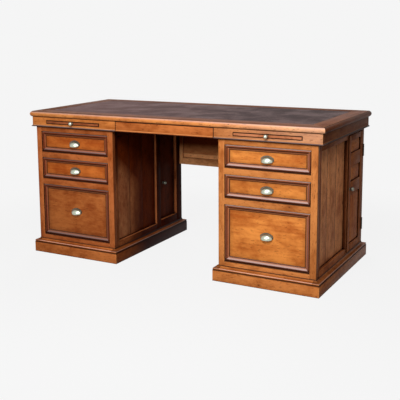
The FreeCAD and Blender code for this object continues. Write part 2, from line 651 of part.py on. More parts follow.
def carcass_boards():
    """Bottom, top, partition, shelf and its two cleats."""
    low, high, roof, top = FLOOR_BOARD_BOTTOM, FLOOR_BOARD_TOP, CEILING_BOTTOM, BODY_TOP
    front = (INNER_FRAME_X, OUTER_FRAME_X, FRAME_BACK_Y, PLANKS_REAR)
    rear = (POST_X, OUTER_FRAME_X, PARTITION_REAR, REAR_INSIDE_Y)
    boards = [box(*front, low, high), box(*rear, low, high), box(*front, roof, top), box(*rear, roof, top)]
    boards.append(box(POST_X, OUTER_FRAME_X, PLANKS_REAR, PARTITION_REAR, low, top))
    x0, x1 = POST_X + SHELF_CLEARANCE, OUTER_FRAME_X - SHELF_CLEARANCE
    under = SHELF_TOP - SHELF_THICKNESS
    boards.append(box(x0, x1, PARTITION_REAR, REAR_INSIDE_Y, under, SHELF_TOP))
    for y in (PARTITION_REAR, REAR_INSIDE_Y - CLEAT):
        boards.append(box(POST_X, OUTER_FRAME_X, y, y + CLEAT, under - CLEAT, under))
    return boards


def drawer_runners():
    """Side guides of each drawer, and the runners under the two upper ones."""
    solids = []
    for name, (low, high) in DRAWER_OPENINGS.items():
        for side, wall in ((-1, INNER_FRAME_X), (1, OUTER_FRAME_X)):
            if name != "bottom":
                inner = wall - side * RUNNER_WIDTH
                solids.append(box(wall, inner, FRAME_BACK_Y, PLANKS_REAR, low - RUNNER_THICKNESS, low))
            guide = CENTRE_X + side * (DRAWER_HALF + BOX_CLEARANCE)
            solids.append(box(wall, guide, FRAME_BACK_Y, PLANKS_REAR, low, low + GUIDE_HEIGHT))
    return solids


# ---- drawers
def tails(low, high, shoulder, tip):
    """Points (y, z) of a row of dovetails from low to high, between the shoulder and the tips."""
    count = max(1, round((high - low) / TAIL_PITCH))
    pitch = (high - low) / count
    points = []
    for index in range(count):
        bottom, top = low + (index + 0.17) * pitch, low + (index + 0.83) * pitch
        points += [(shoulder, bottom), (tip, bottom - TAIL_FLARE), (tip, top + TAIL_FLARE), (shoulder, top)]
    return points


def box_sides(x, half, y0, y1, z0, z1):
    """Both sides of a drawer, dovetailed into the front at y0 and through the back at y1."""
    front = tails(z0, z1, y0, y0 - TAIL_LENGTH)
    rear = tails(z0, z1, y1 - BOX_SIDE, y1)
    loop = [(y0, z0)] + front + [(y0, z1), (y1 - BOX_SIDE, z1)] + rear[::-1] + [(y1 - BOX_SIDE, z0)]
    sides = []
    for start in (x - half, x + half - BOX_SIDE):
        face = polygon([Vector(start, y, z) for y, z in loop])
        sides.append(face.extrude(Vector(BOX_SIDE, 0, 0)))
    return sides


def box_bottom(x, half, y0, y1, z0):
    """Bottom board, let into grooves in the sides and the front."""
    edge = half - BOX_SIDE + BOX_GROOVE
    return box(x - edge, x + edge, y0 - BOX_GROOVE, y1 - BOX_SIDE, z0, z0 + BOX_BOTTOM)


def box_cutters(place, lift):
    x, half, y0, y1, z0, z1 = place
    return box_sides(*place) + [box_bottom(x, half, y0, y1, z0 + lift)]


def dovetailed_box(place, lift):
    x, half, y0, y1, z0, z1 = place
    left, right, bottom = box_cutters(place, lift)
    back = box(x - half, x + half, y1 - BOX_SIDE, y1, z0, z1).cut([left, right])
    return [left.cut(bottom).Solids[0], right.cut(bottom).Solids[0], back.Solids[0], bottom]


def drawer_place(low, high):
    return (CENTRE_X, DRAWER_HALF, BOX_FRONT_Y, BOX_REAR_Y, low + BOX_LIFT, high - BOX_TOP_GAP)


def drawer_box(low, high):
    return dovetailed_box(drawer_place(low, high), BOX_BOTTOM_LIFT)


def drawer_front(low, high):
    """Front board, dovetail sockets in its back, with a moulding mitred round its face."""
    half_z, middle = (high - low) / 2 - DRAWER_GAP, (high + low) / 2
    x0, x1 = CENTRE_X - DRAWER_HALF, CENTRE_X + DRAWER_HALF
    board = box(x0, x1, DRAWER_PANEL_Y, BOX_FRONT_Y, middle - half_z, middle + half_z)
    board = board.cut(box_cutters(drawer_place(low, high), BOX_BOTTOM_LIFT))
    pieces = [board.Solids[0]]
    steps = scaled(DRAWER_MOULDING, MOULDING_WIDTH, MOULDING_CREST)
    for length in mitred_ring(steps, DRAWER_HALF, half_z, MOULDING_WIDTH + OVERCUT):
        length.rotate(Vector(0, 0, 0), Vector(1, 0, 0), 90)
        pieces.append(moved(length, CENTRE_X, DRAWER_PANEL_Y, middle))
    return pieces


def drawer_pull(name, low, high):
    lift = CUP_LIFT if name == "bottom" else 0.0
    return [moved(cup_pull(), CENTRE_X, DRAWER_PANEL_Y, (low + high - CUP_DEPTH) / 2 + lift)]


def centre_drawer_place():
    y0, y1 = CENTRE_BOX_FRONT, CENTRE_BOX_FRONT + CENTRE_BOX_LENGTH
    return (0.0, CENTRE_HALF - BOX_CLEARANCE, y0, y1, CENTRE_BOX_LOW, CENTRE_BOX_HIGH)


def centre_drawer_front():
    """Plain front that carries its own length of the frieze's lip."""
    half = CENTRE_HALF - DRAWER_GAP / 2
    board = box(-half, half, FRIEZE_FACE_Y, CENTRE_BOX_FRONT, FRIEZE_BOTTOM, TOP_UNDERSIDE - DRAWER_GAP / 2)
    board = board.cut(box_cutters(centre_drawer_place(), CENTRE_BOTTOM_LIFT))
    steps = scaled(FRIEZE_LIP, BEAD_PROJECTION, BEAD_HEIGHT)
    lip = outline(steps, lambda inward, up: Vector(-half, FRIEZE_FACE_Y + inward, FRIEZE_BOTTOM + up))
    return [board.Solids[0], lip.extrude(Vector(2 * half, 0, 0))]


def centre_drawer_box():
    return dovetailed_box(centre_drawer_place(), CENTRE_BOTTOM_LIFT)


# ---- writing slides
def slide_lip_steps():
    """Lip of a writing slide: a shallow channel between two rounded edges. Numbers are (inward, up)."""
    tall = SLIDE_HEIGHT / 2
    back, crest, channel = SLIDE_LIP + SLIDE_PROUD, 0.0, SLIDE_RECESS
    corner = (0.3 * SLIDE_PROUD, tall - 0.3 * SLIDE_EDGE)
    return [
        (back, -tall),
        (back, tall),
        (SLIDE_PROUD, tall),
        (corner, (crest, tall - SLIDE_EDGE)),
        (channel, tall - 2 * SLIDE_EDGE),
        (channel, 2 * SLIDE_EDGE - tall),
        (crest, SLIDE_EDGE - tall),
        ((corner[0], -corner[1]), (SLIDE_PROUD, -tall)),
    ]


def writing_slide():
    """Board with a round-ended lip across its front, right-hand one."""
    x, z = slide_centre(1), SLIDE_CENTRE_Z
    half, tall = SLIDE_WIDTH / 2, SLIDE_HEIGHT / 2
    front, rear = FRIEZE_FACE_Y - SLIDE_PROUD, FRIEZE_FACE_Y + SLIDE_LIP
    face = outline(slide_lip_steps(), lambda inward, up: Vector(x - half, front + inward, z + up))
    lip = face.extrude(Vector(2 * half, 0, 0))
    middle = half - tall
    plan = box(x - middle, x + middle, front, rear, z - tall, z + tall)
    round_end = facing(rod(tall, rear - front, Vector(0, 0, 0)), Vector(0, 1, 0))
    ends = [moved(round_end, x + end, front, z) for end in (-middle, middle)]
    lip = lip.common(plan.fuse(ends))
    edge, thick = half - SLIDE_BOARD_INSET, SLIDE_BOARD_THICKNESS / 2
    board = box(x - edge, x + edge, rear, rear + SLIDE_BOARD_LENGTH, z - thick, z + thick)
    return [lip.Solids[0], board]


def slide_knob():
    y = FRIEZE_FACE_Y - SLIDE_PROUD + SLIDE_RECESS
    return [moved(facing(knob(), Vector(0, -1, 0)), slide_centre(1), y, SLIDE_CENTRE_Z)]


# ---- outer door
def outer_door_frame():
    x0, x1 = DOOR_FACE_X - OUTER_DOOR_THICKNESS, DOOR_FACE_X
    low, high = OUTER_DOOR_LOW, OUTER_DOOR_HIGH
    front, rear = DOOR_FRONT_Y + LATCH_STILE, DOOR_REAR_Y - HINGE_STILE
    solids = [box(x0, x1, DOOR_FRONT_Y, front, low, high), box(x0, x1, rear, DOOR_REAR_Y, low, high)]
    solids += [box(x0, x1, front, rear, bottom, top) for bottom, top in DOOR_RAILS]
    return solids


def outer_door_panels():
    """Fielded panels between the door's rails."""
    front, rear = DOOR_FRONT_Y + LATCH_STILE, DOOR_REAR_Y - HINGE_STILE
    back = DOOR_FACE_X - FIELD_SETBACK - FIELD_THICKNESS - FIELD_RISE
    panels = []
    for below, above in zip(DOOR_RAILS, DOOR_RAILS[1:]):
        low, high = below[1], above[0]
        panel = fielded_panel(rear - front, high - low)
        panel.rotate(Vector(0, 0, 0), Vector(1, 1, 1), 120)
        panels.append(moved(panel, back, (front + rear) / 2, (low + high) / 2))
    return panels


def outer_door_knob():
    y = DOOR_FRONT_Y + LATCH_STILE / 2
    return [moved(facing(knob(), Vector(1, 0, 0)), DOOR_FACE_X, y, OUTER_KNOB_Z)]


def hinge_leaf(centre, parity):
    """One leaf with its knuckles: parity 0 lies on the rear stile, parity 1 on the door's edge."""
    side = 1 if parity == 0 else -1
    faces = (HINGE_AXIS_Y + side * LEAF_GAP / 2, HINGE_AXIS_Y + side * (LEAF_GAP / 2 + LEAF_THICKNESS))
    y0, y1 = min(faces), max(faces)
    low = centre - HINGE_HEIGHT / 2
    root = HINGE_AXIS_X - KNUCKLE_RADIUS - KNUCKLE_GAP
    leaf = box(root - LEAF_DEPTH, root, y0, y1, low, low + HINGE_HEIGHT)
    pitch = HINGE_HEIGHT / KNUCKLE_COUNT
    tall = pitch - KNUCKLE_GAP
    knuckles = []
    for index in range(parity, KNUCKLE_COUNT, 2):
        foot = low + index * pitch + KNUCKLE_GAP / 2
        knuckles.append(box(root, HINGE_AXIS_X, y0, y1, foot, foot + tall))
        knuckles.append(rod(KNUCKLE_RADIUS, tall, Vector(HINGE_AXIS_X, HINGE_AXIS_Y, foot)))
    return leaf.fuse(knuckles)


def hinge_pin(centre, clearance):
    foot = Vector(HINGE_AXIS_X, HINGE_AXIS_Y, centre - HINGE_HEIGHT / 2 + KNUCKLE_GAP / 2)
    return Part.makeCylinder(HINGE_PIN_RADIUS + clearance, HINGE_HEIGHT - KNUCKLE_GAP, foot)


def hinge_plates():
    """The fixed leaf of each hinge, with the pin riveted into its knuckles."""
    plates = []
    for centre in HINGE_CENTRES:
        plates.append(hinge_leaf(centre, 0).fuse(hinge_pin(centre, 0.0)).removeSplitter().Solids[0])
    return plates


def hinge_leaves():
    """The door's leaf of each hinge, bored for the pin."""
    leaves = []
    for centre in HINGE_CENTRES:
        bored = hinge_leaf(centre, 1).cut(hinge_pin(centre, HINGE_PIN_CLEARANCE))
        leaves.append(bored.removeSplitter().Solids[0])
    return leaves


# ---- inner door
def pivot_pins(clearance):
    """The studs on the door's lower and upper edge, which turn in the sill and the top rail."""
    length = INNER_DOOR_GAP + PIVOT_LENGTH + clearance
    foot = Vector(PIVOT_X, PIVOT_Y, INNER_DOOR_LOW - length)
    head = Vector(PIVOT_X, PIVOT_Y, INNER_DOOR_HIGH)
    return [Part.makeCylinder(PIVOT_RADIUS + clearance, length, place) for place in (foot, head)]


def inner_door():
    """Plain board whose hinge edge is rounded about the pivot."""
    x0, x1 = INNER_DOOR_FACE_X, INNER_DOOR_FACE_X + INNER_DOOR_THICKNESS
    steps = [
        (x0, INNER_DOOR_FRONT),
        (x1, INNER_DOOR_FRONT),
        (x1, PIVOT_Y),
        ((PIVOT_X, INNER_DOOR_REAR), (x0, PIVOT_Y)),
    ]
    face = outline(steps, lambda x, y: Vector(x, y, INNER_DOOR_LOW))
    return [face.extrude(Vector(0, 0, INNER_DOOR_HIGH - INNER_DOOR_LOW))]


def inner_door_fittings():
    y, z = INNER_DOOR_FRONT + INNER_KNOB_INSET, INNER_DOOR_LOW + INNER_KNOB_RISE
    return [moved(facing(knob(), Vector(-1, 0, 0)), INNER_DOOR_FACE_X, y, z)] + pivot_pins(0.0)


# ---- saving
def save(node, solids):
    shape = Part.makeCompound([solid.copy() for solid in solids])
    shape.translate(Vector(0, ORIGIN_SHIFT_Y, 0))
    shape.exportStep("parts/%s.step" % node)


def save_pair(name, solids):
    """The right-hand piece as drawn, and its mirror image on the left."""
    save("right_" + name, solids)
    save("left_" + name, [solid.mirror(Vector(0, 0, 0), Vector(1, 0, 0)) for solid in solids])


def main():
    os.makedirs("parts", exist_ok=True)
    save("top_border", top_border())
    save("top_core", inside_border(TOP_UNDERSIDE, DESK_HEIGHT - LEATHER_THICKNESS))
    save("leather_inlay", inside_border(DESK_HEIGHT - LEATHER_THICKNESS, DESK_HEIGHT))
    save("frieze_boards", frieze_boards())
    save("frieze_bead", frieze_bead())
    save("drawer_bearers", drawer_bearers())
    save("slide_guides", slide_guides())
    save("rear_apron", rear_apron())
    save("locating_dowels", dowels(0.0))
    save("centre_drawer_front", centre_drawer_front())
    save("centre_drawer_box", centre_drawer_box())
    save_pair("plinth", plinth())
    save_pair("face_frame", face_frame())
    save_pair("side_frames", side_frames())
    save_pair("plank_panels", plank_panels())
    save_pair("carcass_boards", carcass_boards())
    save_pair("drawer_runners", drawer_runners())
    save_pair("hinge_plates", hinge_plates())
    save_pair("writing_slide", writing_slide())
    save_pair("slide_knob", slide_knob())
    save_pair("outer_door_frame", outer_door_frame())
    save_pair("outer_door_panels", outer_door_panels())
    save_pair("outer_door_hinges", hinge_leaves())
    save_pair("outer_door_knob", outer_door_knob())
    save_pair("inner_door", inner_door())
    save_pair("inner_door_fittings", inner_door_fittings())
    for name, (low, high) in DRAWER_OPENINGS.items():
        save_pair(name + "_drawer_front", drawer_front(low, high))
        save_pair(name + "_drawer_box", drawer_box(low, high))
        save_pair(name + "_drawer_pull", drawer_pull(name, low, high))


main()
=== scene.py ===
import dataclasses
import math

import bpy
from mathutils import Matrix, Vector


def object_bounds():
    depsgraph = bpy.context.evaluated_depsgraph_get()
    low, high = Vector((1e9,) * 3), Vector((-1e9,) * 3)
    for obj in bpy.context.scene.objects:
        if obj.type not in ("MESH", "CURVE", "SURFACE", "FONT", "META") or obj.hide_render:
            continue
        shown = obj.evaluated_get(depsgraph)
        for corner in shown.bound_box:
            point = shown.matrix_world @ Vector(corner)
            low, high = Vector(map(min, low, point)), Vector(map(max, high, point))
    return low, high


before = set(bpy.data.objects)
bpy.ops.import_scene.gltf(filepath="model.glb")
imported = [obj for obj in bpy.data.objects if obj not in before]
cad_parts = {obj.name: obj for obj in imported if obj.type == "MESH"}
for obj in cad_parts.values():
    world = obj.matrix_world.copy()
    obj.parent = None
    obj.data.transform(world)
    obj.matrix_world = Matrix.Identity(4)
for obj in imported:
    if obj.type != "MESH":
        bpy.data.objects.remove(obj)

bl_info = {
    "name": "Partners Desk Finish",
    "version": (1, 0, 0),
    "blender": (4, 5, 0),
    "location": "3D View > Sidebar > Desk",
    "description": "Timber, leather and metal finishes of a pedestal partners desk, with its studio",
    "category": "Material",
}

CAD_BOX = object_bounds()
SIDES = ("left", "right")
DRAWERS = ("top", "middle", "bottom")
MM = 0.001

# The desk stands on its origin, with its front at -HALF_DEPTH. A side nearer the middle than NEAR_SIDE looks
# on the kneehole.
HALF_LENGTH, HALF_DEPTH, HEIGHT = CAD_BOX[1]
NEAR_SIDE = 0.5 * HALF_LENGTH
SLIM = 45 * MM  # boards narrower than this are mouldings, or the apron's rails
SOFT = 0.5 * MM  # half the breadth over which a glaze line fades
SLOPING, LEVEL = 0.85, 0.98  # upward part of the normal of faces that no longer, and that fully, look up

# Facets of one plane, edges that are eased, and edges that are shaded as a curve.
COPLANAR, SHARP, ROUND = math.radians(0.5), math.radians(30), math.radians(32)

# What makes a mix node mix colours.
COLOURS = {"output": 2, "data_type": "RGBA"}


# ---- shared helpers
def linear(code):
    """An sRGB hex colour as linear red, green and blue."""
    shares = [int(code[i : i + 2], 16) / 255 for i in (1, 3, 5)]
    return tuple(s / 12.92 if s <= 0.04045 else ((s + 0.055) / 1.055) ** 2.4 for s in shares)


def rgba(colour):
    """A colour's three numbers with full cover."""
    return (colour[0], colour[1], colour[2], 1.0)


def add(tree, kind, inputs=(), output=0, **settings):
    """Adds a node with its settings, sets or links its inputs, and returns one of its outputs."""
    made = tree.nodes.new(kind)
    made.location = (180 * len(tree.nodes), 0)
    for name, value in settings.items():
        setattr(made, name, value)
    for key, value in dict(inputs).items():
        if isinstance(value, bpy.types.NodeSocket):
            tree.links.new(value, made.inputs[key])
        else:
            made.inputs[key].default_value = value
    return made.outputs[output] if len(made.outputs) else made


def new_material(name):
    """An empty material and its node tree."""
    material = bpy.data.materials.new(name)
    material.use_nodes = True
    material.node_tree.nodes.clear()
    return material, material.node_tree


def both(pattern):
    """The names of a node of the left and of the right pedestal."""
    return [pattern.format(side) for side in SIDES]


def each_drawer(piece):
    """The names of one piece of all six pedestal drawers."""
    return [f"{side}_{name}_drawer_{piece}" for side in SIDES for name in DRAWERS]


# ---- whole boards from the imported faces
CORNER_GRID = 0.01 * MM  # corners of one place agree when rounded to this
WELD = 0.005 * MM
LARGEST_LOT = 700  # keeps the running sum small
ASIDE = (13.7 * MM, 19.3 * MM, 23.1 * MM)  # how far apart solids are moved for the weld, by their number


def new_modifier_group(name, **inputs):
    """An empty geometry-nodes group, a mesh in and out and further inputs by name, and its input sockets."""
    tree = bpy.data.node_groups.new(name, "GeometryNodeTree")
    tree.is_modifier = True
    tree.interface.new_socket("Geometry", in_out="INPUT", socket_type="NodeSocketGeometry")
    for label, kind in inputs.items():
        tree.interface.new_socket(label, in_out="INPUT", socket_type=kind)
    tree.interface.new_socket("Geometry", in_out="OUTPUT", socket_type="NodeSocketGeometry")
    return tree, add(tree, "NodeGroupInput").node.outputs


def whole_solids():
    """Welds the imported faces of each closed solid, and never two solids whose corners lie on each other.

    The faces come solid by solid. A number that each directed edge adds, and the same edge met the other way
    takes off again, comes back to nought where a solid closes, so the noughts so far number the solid.
    For the weld every solid is moved aside by its number, and afterwards back."""
    tree = bpy.data.node_groups.get("whole_solids")
    if tree:
        return tree
    tree, entry = new_modifier_group("whole_solids")
    place = add(tree, "GeometryNodeInputPosition")
    snapped = add(tree, "ShaderNodeVectorMath", {0: place, 1: (CORNER_GRID,) * 3}, operation="SNAP")
    face = add(tree, "GeometryNodeInputIndex")
    ends = []
    for turn in range(3):
        corner = add(tree, "GeometryNodeCornersOfFace", {"Face Index": face, "Sort Index": turn})
        ends.append(add(tree, "GeometryNodeVertexOfCorner", {0: corner}))
    lots = []
    for seed in (1, 2):
        lot = add(tree, "FunctionNodeHashValue", {"Value": snapped, "Seed": seed}, data_type="VECTOR")
        lot = add(tree, "FunctionNodeIntegerMath", {0: lot, 1: LARGEST_LOT}, operation="MODULO")
        drawn = []
        for end in ends:
            at_end = {"Value": lot, "Index": end}
            drawn.append(add(tree, "GeometryNodeFieldAtIndex", at_end, data_type="INT", domain="POINT"))
        lots.append(drawn)
    tally = 0
    for turn in range(3):
        for first, second, operation in ((lots[0], lots[1], "ADD"), (lots[1], lots[0], "SUBTRACT")):
            pair = {0: first[turn], 1: second[turn - 2]}
            pair = add(tree, "FunctionNodeIntegerMath", pair, operation="MULTIPLY")
            tally = add(tree, "FunctionNodeIntegerMath", {0: tally, 1: pair}, operation=operation)
    faces = {"data_type": "INT", "domain": "FACE"}
    running = add(tree, "GeometryNodeAccumulateField", {"Value": tally}, **faces)
    shut = add(tree, "FunctionNodeCompare", {2: running, 3: 0}, data_type="INT", operation="EQUAL")
    number = add(tree, "GeometryNodeAccumulateField", {"Value": shut}, output="Trailing", **faces)
    number = add(tree, "GeometryNodeFieldOnDomain", {"Value": number}, **faces)
    mark = {"Geometry": entry[0], "Name": "solid", "Value": number}
    shape = add(tree, "GeometryNodeStoreNamedAttribute", mark, data_type="INT", domain="POINT")
    number = add(tree, "GeometryNodeInputNamedAttribute", {"Name": "solid"}, data_type="INT")
    for way in (1, -1):
        step = [way * side for side in ASIDE]
        apart = add(tree, "ShaderNodeVectorMath", {0: step, "Scale": number}, operation="SCALE")
        shape = add(tree, "GeometryNodeSetPosition", {"Geometry": shape, "Offset": apart})
        if way == 1:
            shape = add(tree, "GeometryNodeMergeByDistance", {"Geometry": shape, "Distance": WELD})
    shape = add(tree, "GeometryNodeRemoveAttribute", {"Geometry": shape, "Name": "custom_normal"})
    add(tree, "NodeGroupOutput", {0: shape})
    return tree


# ---- what the finishes read from each board
def board_reader():
    """Geometry nodes that shade a node's faces and give every board its grain axis, the axis across it, the
    lowest and highest corners of the board and of its node, and a random vector."""
    tree = bpy.data.node_groups.get("board_reader")
    if tree:
        return tree
    tree, entry = new_modifier_group("board_reader", Seed="NodeSocketInt", Stain="NodeSocketVector")
    place = add(tree, "GeometryNodeInputPosition")
    island = add(tree, "GeometryNodeInputMeshIsland")

    # The corners of each board, one axis at a time. The grain follows its longest side, the shortest side is
    # its thickness, and sides that differ by under a thousandth count as the same.
    lows, highs, sides = [], [], []
    for part in add(tree, "ShaderNodeSeparateXYZ", {0: place}).node.outputs:
        reach = {"Value": part, "Group ID": island}
        reach = add(tree, "GeometryNodeFieldMinAndMax", reach, domain="POINT").node.outputs
        lows.append(reach["Min"])
        highs.append(reach["Max"])
        sides.append(add(tree, "ShaderNodeMath", {0: reach["Max"], 1: reach["Min"]}, operation="SUBTRACT"))
    low = add(tree, "ShaderNodeCombineXYZ", dict(enumerate(lows)))
    high = add(tree, "ShaderNodeCombineXYZ", dict(enumerate(highs)))
    most = add(tree, "ShaderNodeMath", {0: sides[0], 1: sides[1]}, operation="MAXIMUM")
    most = add(tree, "ShaderNodeMath", {0: most, 1: sides[2]}, operation="MAXIMUM")
    least = add(tree, "ShaderNodeMath", {0: sides[0], 1: sides[1]}, operation="MINIMUM")
    least = add(tree, "ShaderNodeMath", {0: least, 1: sides[2]}, operation="MINIMUM")
    most = add(tree, "ShaderNodeMath", {0: most, 1: 0.999}, operation="MULTIPLY")
    least = add(tree, "ShaderNodeMath", {0: least, 1: 1.001}, operation="MULTIPLY")
    longest, middle = [], []
    for side in sides:
        longest.append(add(tree, "ShaderNodeMath", {0: side, 1: most}, operation="GREATER_THAN"))
        wide = add(tree, "ShaderNodeMath", {0: side, 1: least}, operation="GREATER_THAN")
        middle.append(add(tree, "ShaderNodeMath", {0: wide, 1: longest[-1]}, operation="SUBTRACT"))
    axis = add(tree, "ShaderNodeCombineXYZ", dict(enumerate(longest)))
    across = add(tree, "ShaderNodeCombineXYZ", dict(enumerate(middle)))
    bounds = add(tree, "GeometryNodeBoundBox", {0: entry[0]}).node.outputs
    chance = {"ID": island, "Seed": entry[1]}
    chance = add(tree, "FunctionNodeRandomValue", chance, data_type="FLOAT_VECTOR")

    bend = add(tree, "GeometryNodeInputMeshEdgeAngle")
    soft = add(tree, "ShaderNodeMath", {0: bend, 1: ROUND}, operation="LESS_THAN")
    shape = add(tree, "GeometryNodeSetShadeSmooth", {0: entry[0]}, domain="FACE")
    shape = add(tree, "GeometryNodeSetShadeSmooth", {0: shape, "Shade Smooth": soft}, domain="EDGE")
    for name, value in (
        ("grain", axis),
        ("across", across),
        ("chance", chance),
        ("board_low", low),
        ("board_high", high),
        ("stain", entry[2]),
        ("node_low", bounds["Min"]),
        ("node_high", bounds["Max"]),
    ):
        mark = {"Geometry": shape, "Name": name, "Value": value}
        shape = add(tree, "GeometryNodeStoreNamedAttribute", mark, data_type="FLOAT_VECTOR", domain="POINT")
    add(tree, "NodeGroupOutput", {0: shape})
    return tree


def dress(nodes, material, edge=0.0, stain=(1.0, 1.0, 1.0)):
    """Gives CAD nodes their finish, eases their edges by edge millimetres and marks their boards. stain is
    how much of the finish's red, green and blue these nodes keep."""
    order = sorted(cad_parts)
    for name in nodes:
        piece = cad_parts[name]
        slots = piece.material_slots
        if not slots:
            raise RuntimeError(f"{name} came without a material slot")
        for slot in slots:
            slot.link = "OBJECT"
            slot.material = material
        piece.modifiers.new("whole_solids", "NODES").node_group = whole_solids()
        if edge:
            flat = piece.modifiers.new("flat_faces", "DECIMATE")
            flat.decimate_type = "DISSOLVE"
            flat.angle_limit = COPLANAR
            ease = piece.modifiers.new("eased_edges", "BEVEL")
            ease.width = edge * MM
            ease.segments = 2
            ease.limit_method = "ANGLE"
            ease.angle_limit = SHARP
            ease.harden_normals = False
        boards = piece.modifiers.new("boards", "NODES")
        boards.node_group = board_reader()
        values = {"Seed": order.index(name), "Stain": stain}
        for socket in boards.node_group.interface.items_tree:
            if socket.name in values:
                boards[socket.identifier] = values[socket.name]


# ---- sizes and colours that a user may change
def colour(name, about, code):
    """A colour setting, from its hex code."""
    return bpy.props.FloatVectorProperty(
        name=name, description=about, subtype="COLOR", size=3, min=0.0, max=1.0, default=linear(code)
    )


def length(name, about, value, low=0.0, high=1.0):
    """A length setting in metres."""
    kind = {"subtype": "DISTANCE", "unit": "LENGTH", "precision": 4}
    return bpy.props.FloatProperty(name=name, description=about, default=value, min=low, max=high, **kind)


def setting(name, about, value, **kind):
    """A setting that is a number, or several if its value is a tuple."""
    if isinstance(value, tuple):
        kind["size"] = len(value)
        return bpy.props.FloatVectorProperty(name=name, description=about, default=value, **kind)
    return bpy.props.FloatProperty(name=name, description=about, default=value, **kind)


class TimberSettings(bpy.types.PropertyGroup):
    """Stained and glazed reclaimed pine."""

    honey: colour("Drawer panels", "Stain on the drawer panels, the clearest timber", "#E0883A")
    honey_dark: colour("Drawer panel streaks", "Latewood streaks in the drawer panels", "#A8531C")
    amber: colour("Frames", "Stain on frames, frieze and plinth", "#DA8440")
    amber_dark: colour("Frame streaks", "Latewood streaks in the frames", "#A0521E")
    plank: colour("Side boards", "Stain on the boards of the pedestals' sides and back", "#F4A46C")
    plank_dark: colour("Side board streaks", "Latewood streaks in the side boards", "#B46740")
    russet: colour("Side frames", "Stain on the frames and doors of the pedestals' sides", "#A86238")
    russet_dark: colour("Side frame streaks", "Latewood streaks in the side frames", "#70381C")
    # Painted shade: the kneehole doors take this dark stain for the shade deep in the kneehole.
    umber: colour("Kneehole doors", "Stain on the doors inside the kneehole", "#7C4024")
    umber_dark: colour("Kneehole door streaks", "Latewood streaks in the kneehole doors", "#4A2412")
    # Painted light: the apron and its rails are stained pale, for light at the back of the kneehole.
    apron: colour("Apron", "Stain on the modesty panel between the pedestals", "#DC945E")
    apron_dark: colour("Apron streaks", "Latewood streaks in the apron", "#B06A3C")
    rail: colour("Apron rails", "Stain on the apron's slim rails", "#FFB478")
    edge: colour("Top's edge", "Stain on the moulded edge of the top", "#D88A4A")
    edge_dark: colour("Top's edge streaks", "Latewood streaks in the edge of the top", "#A85E30")
    # Painted shade: faces of the top that look up take these darker border colours.
    border: colour("Top border", "Stain on the border round the leather", "#824C2E")
    border_dark: colour("Top border streaks", "Latewood streaks in the border", "#60331D")
    moulding: colour("Mouldings", "Stain on the drawer mouldings, under the glaze", "#AE623E")
    # Also the colour of the painted shade in corners, in the painted shadow lines and under slim boards.
    glaze: colour("Glaze", "Dark glaze left in corners and quirks", "#240E0C")
    # Painted shade: multiplied over the kneehole's faces, the apron and the faces at the desk's ends.
    smoke: colour("Smoke", "Painted shade of the kneehole and the ends, over the stain under it", "#5C381A")
    knot: colour("Knots", "Knots and filled nail holes", "#4A1C0A")
    # Painted light: front faces are drawn paler towards the desk's right end.
    faded: colour("Paler right end", "Painted light on the front faces towards the right end", "#FFD8B8")
    rubbed: colour("Rubbed edges", "Raised edges where the stain has worn thin", "#E8A868")
    # Painted highlight on mouldings and nosings that face up.
    bloom: colour("Painted highlight", "Painted highlight on mouldings that face up", "#EECCC2")
    bare: colour("Unstained timber", "Drawer boxes, runners and carcass boards", "#C49A68")
    bare_dark: colour("Unstained streaks", "Latewood streaks in unstained timber", "#9A6B3E")
    patch_pitch: length("Patch pitch", "Size of the broad patches of darker stain", 0.110, 0.02)
    cloud_pitch: length("Cloud pitch", "Size of the soft clouds in the stain", 0.026, 0.005)
    ring_pitch: length("Growth ring pitch", "Distance between growth rings on a board's face", 0.007, 0.001)
    streak_pitch: length("Streak pitch", "Distance between the broad streaks", 0.0154, 0.002)
    # Drawn coarser than real pores, which lie tenths of a millimetre apart, so that they show.
    pore_pitch: length("Pore pitch", "Distance between the fine streaks", 0.0022, 0.0005)
    fleck_pitch: length("Fleck pitch", "Distance between the short dark flecks", 0.0045, 0.001)
    knot_spacing: length("Knot spacing", "Size of the cells that each may hold a knot", 0.075, 0.02)


class LeatherSettings(bpy.types.PropertyGroup):
    """Leather writing surface."""

    hide: colour("Leather", "Aniline-dyed hide", "#331D1C")
    # Also the colour of the painted sheen towards the left of the top.
    rubbed: colour("Rubbed leather", "Where sleeves and papers have worn it paler", "#724E4A")
    pebble: length("Pebble", "Width of the grain's pebbles", 0.0016, 0.0004)
    cloud: length("Cloud pitch", "Size of the patches that hands and papers have rubbed", 0.16, 0.02)
    mottle: length("Mottle pitch", "Size of the fine mottling in them", 0.012, 0.002)


class MetalSettings(bpy.types.PropertyGroup):
    """Pulls, knobs and hinges."""

    brass: colour("Nickel-washed brass", "Worn pale plating over brass", "#BEC4B2")
    # Also the colour of the painted dark reflection on faces that look up, and of the door knobs' painted
    # shade.
    tarnish: colour("Tarnish", "Brown tarnish in corners", "#4C443A")
    cast: length("Casting grain", "Size of the casting's unevenness", 0.004, 0.0005)
    iron: colour("Hinges", "Blackened steel hinges", "#2B2522")
    rust: colour("Hinge bloom", "Dull brown bloom on the hinges", "#4A3A30")
    mottle: length("Mottle pitch", "Size of the bloom's mottling", 0.006, 0.0005)


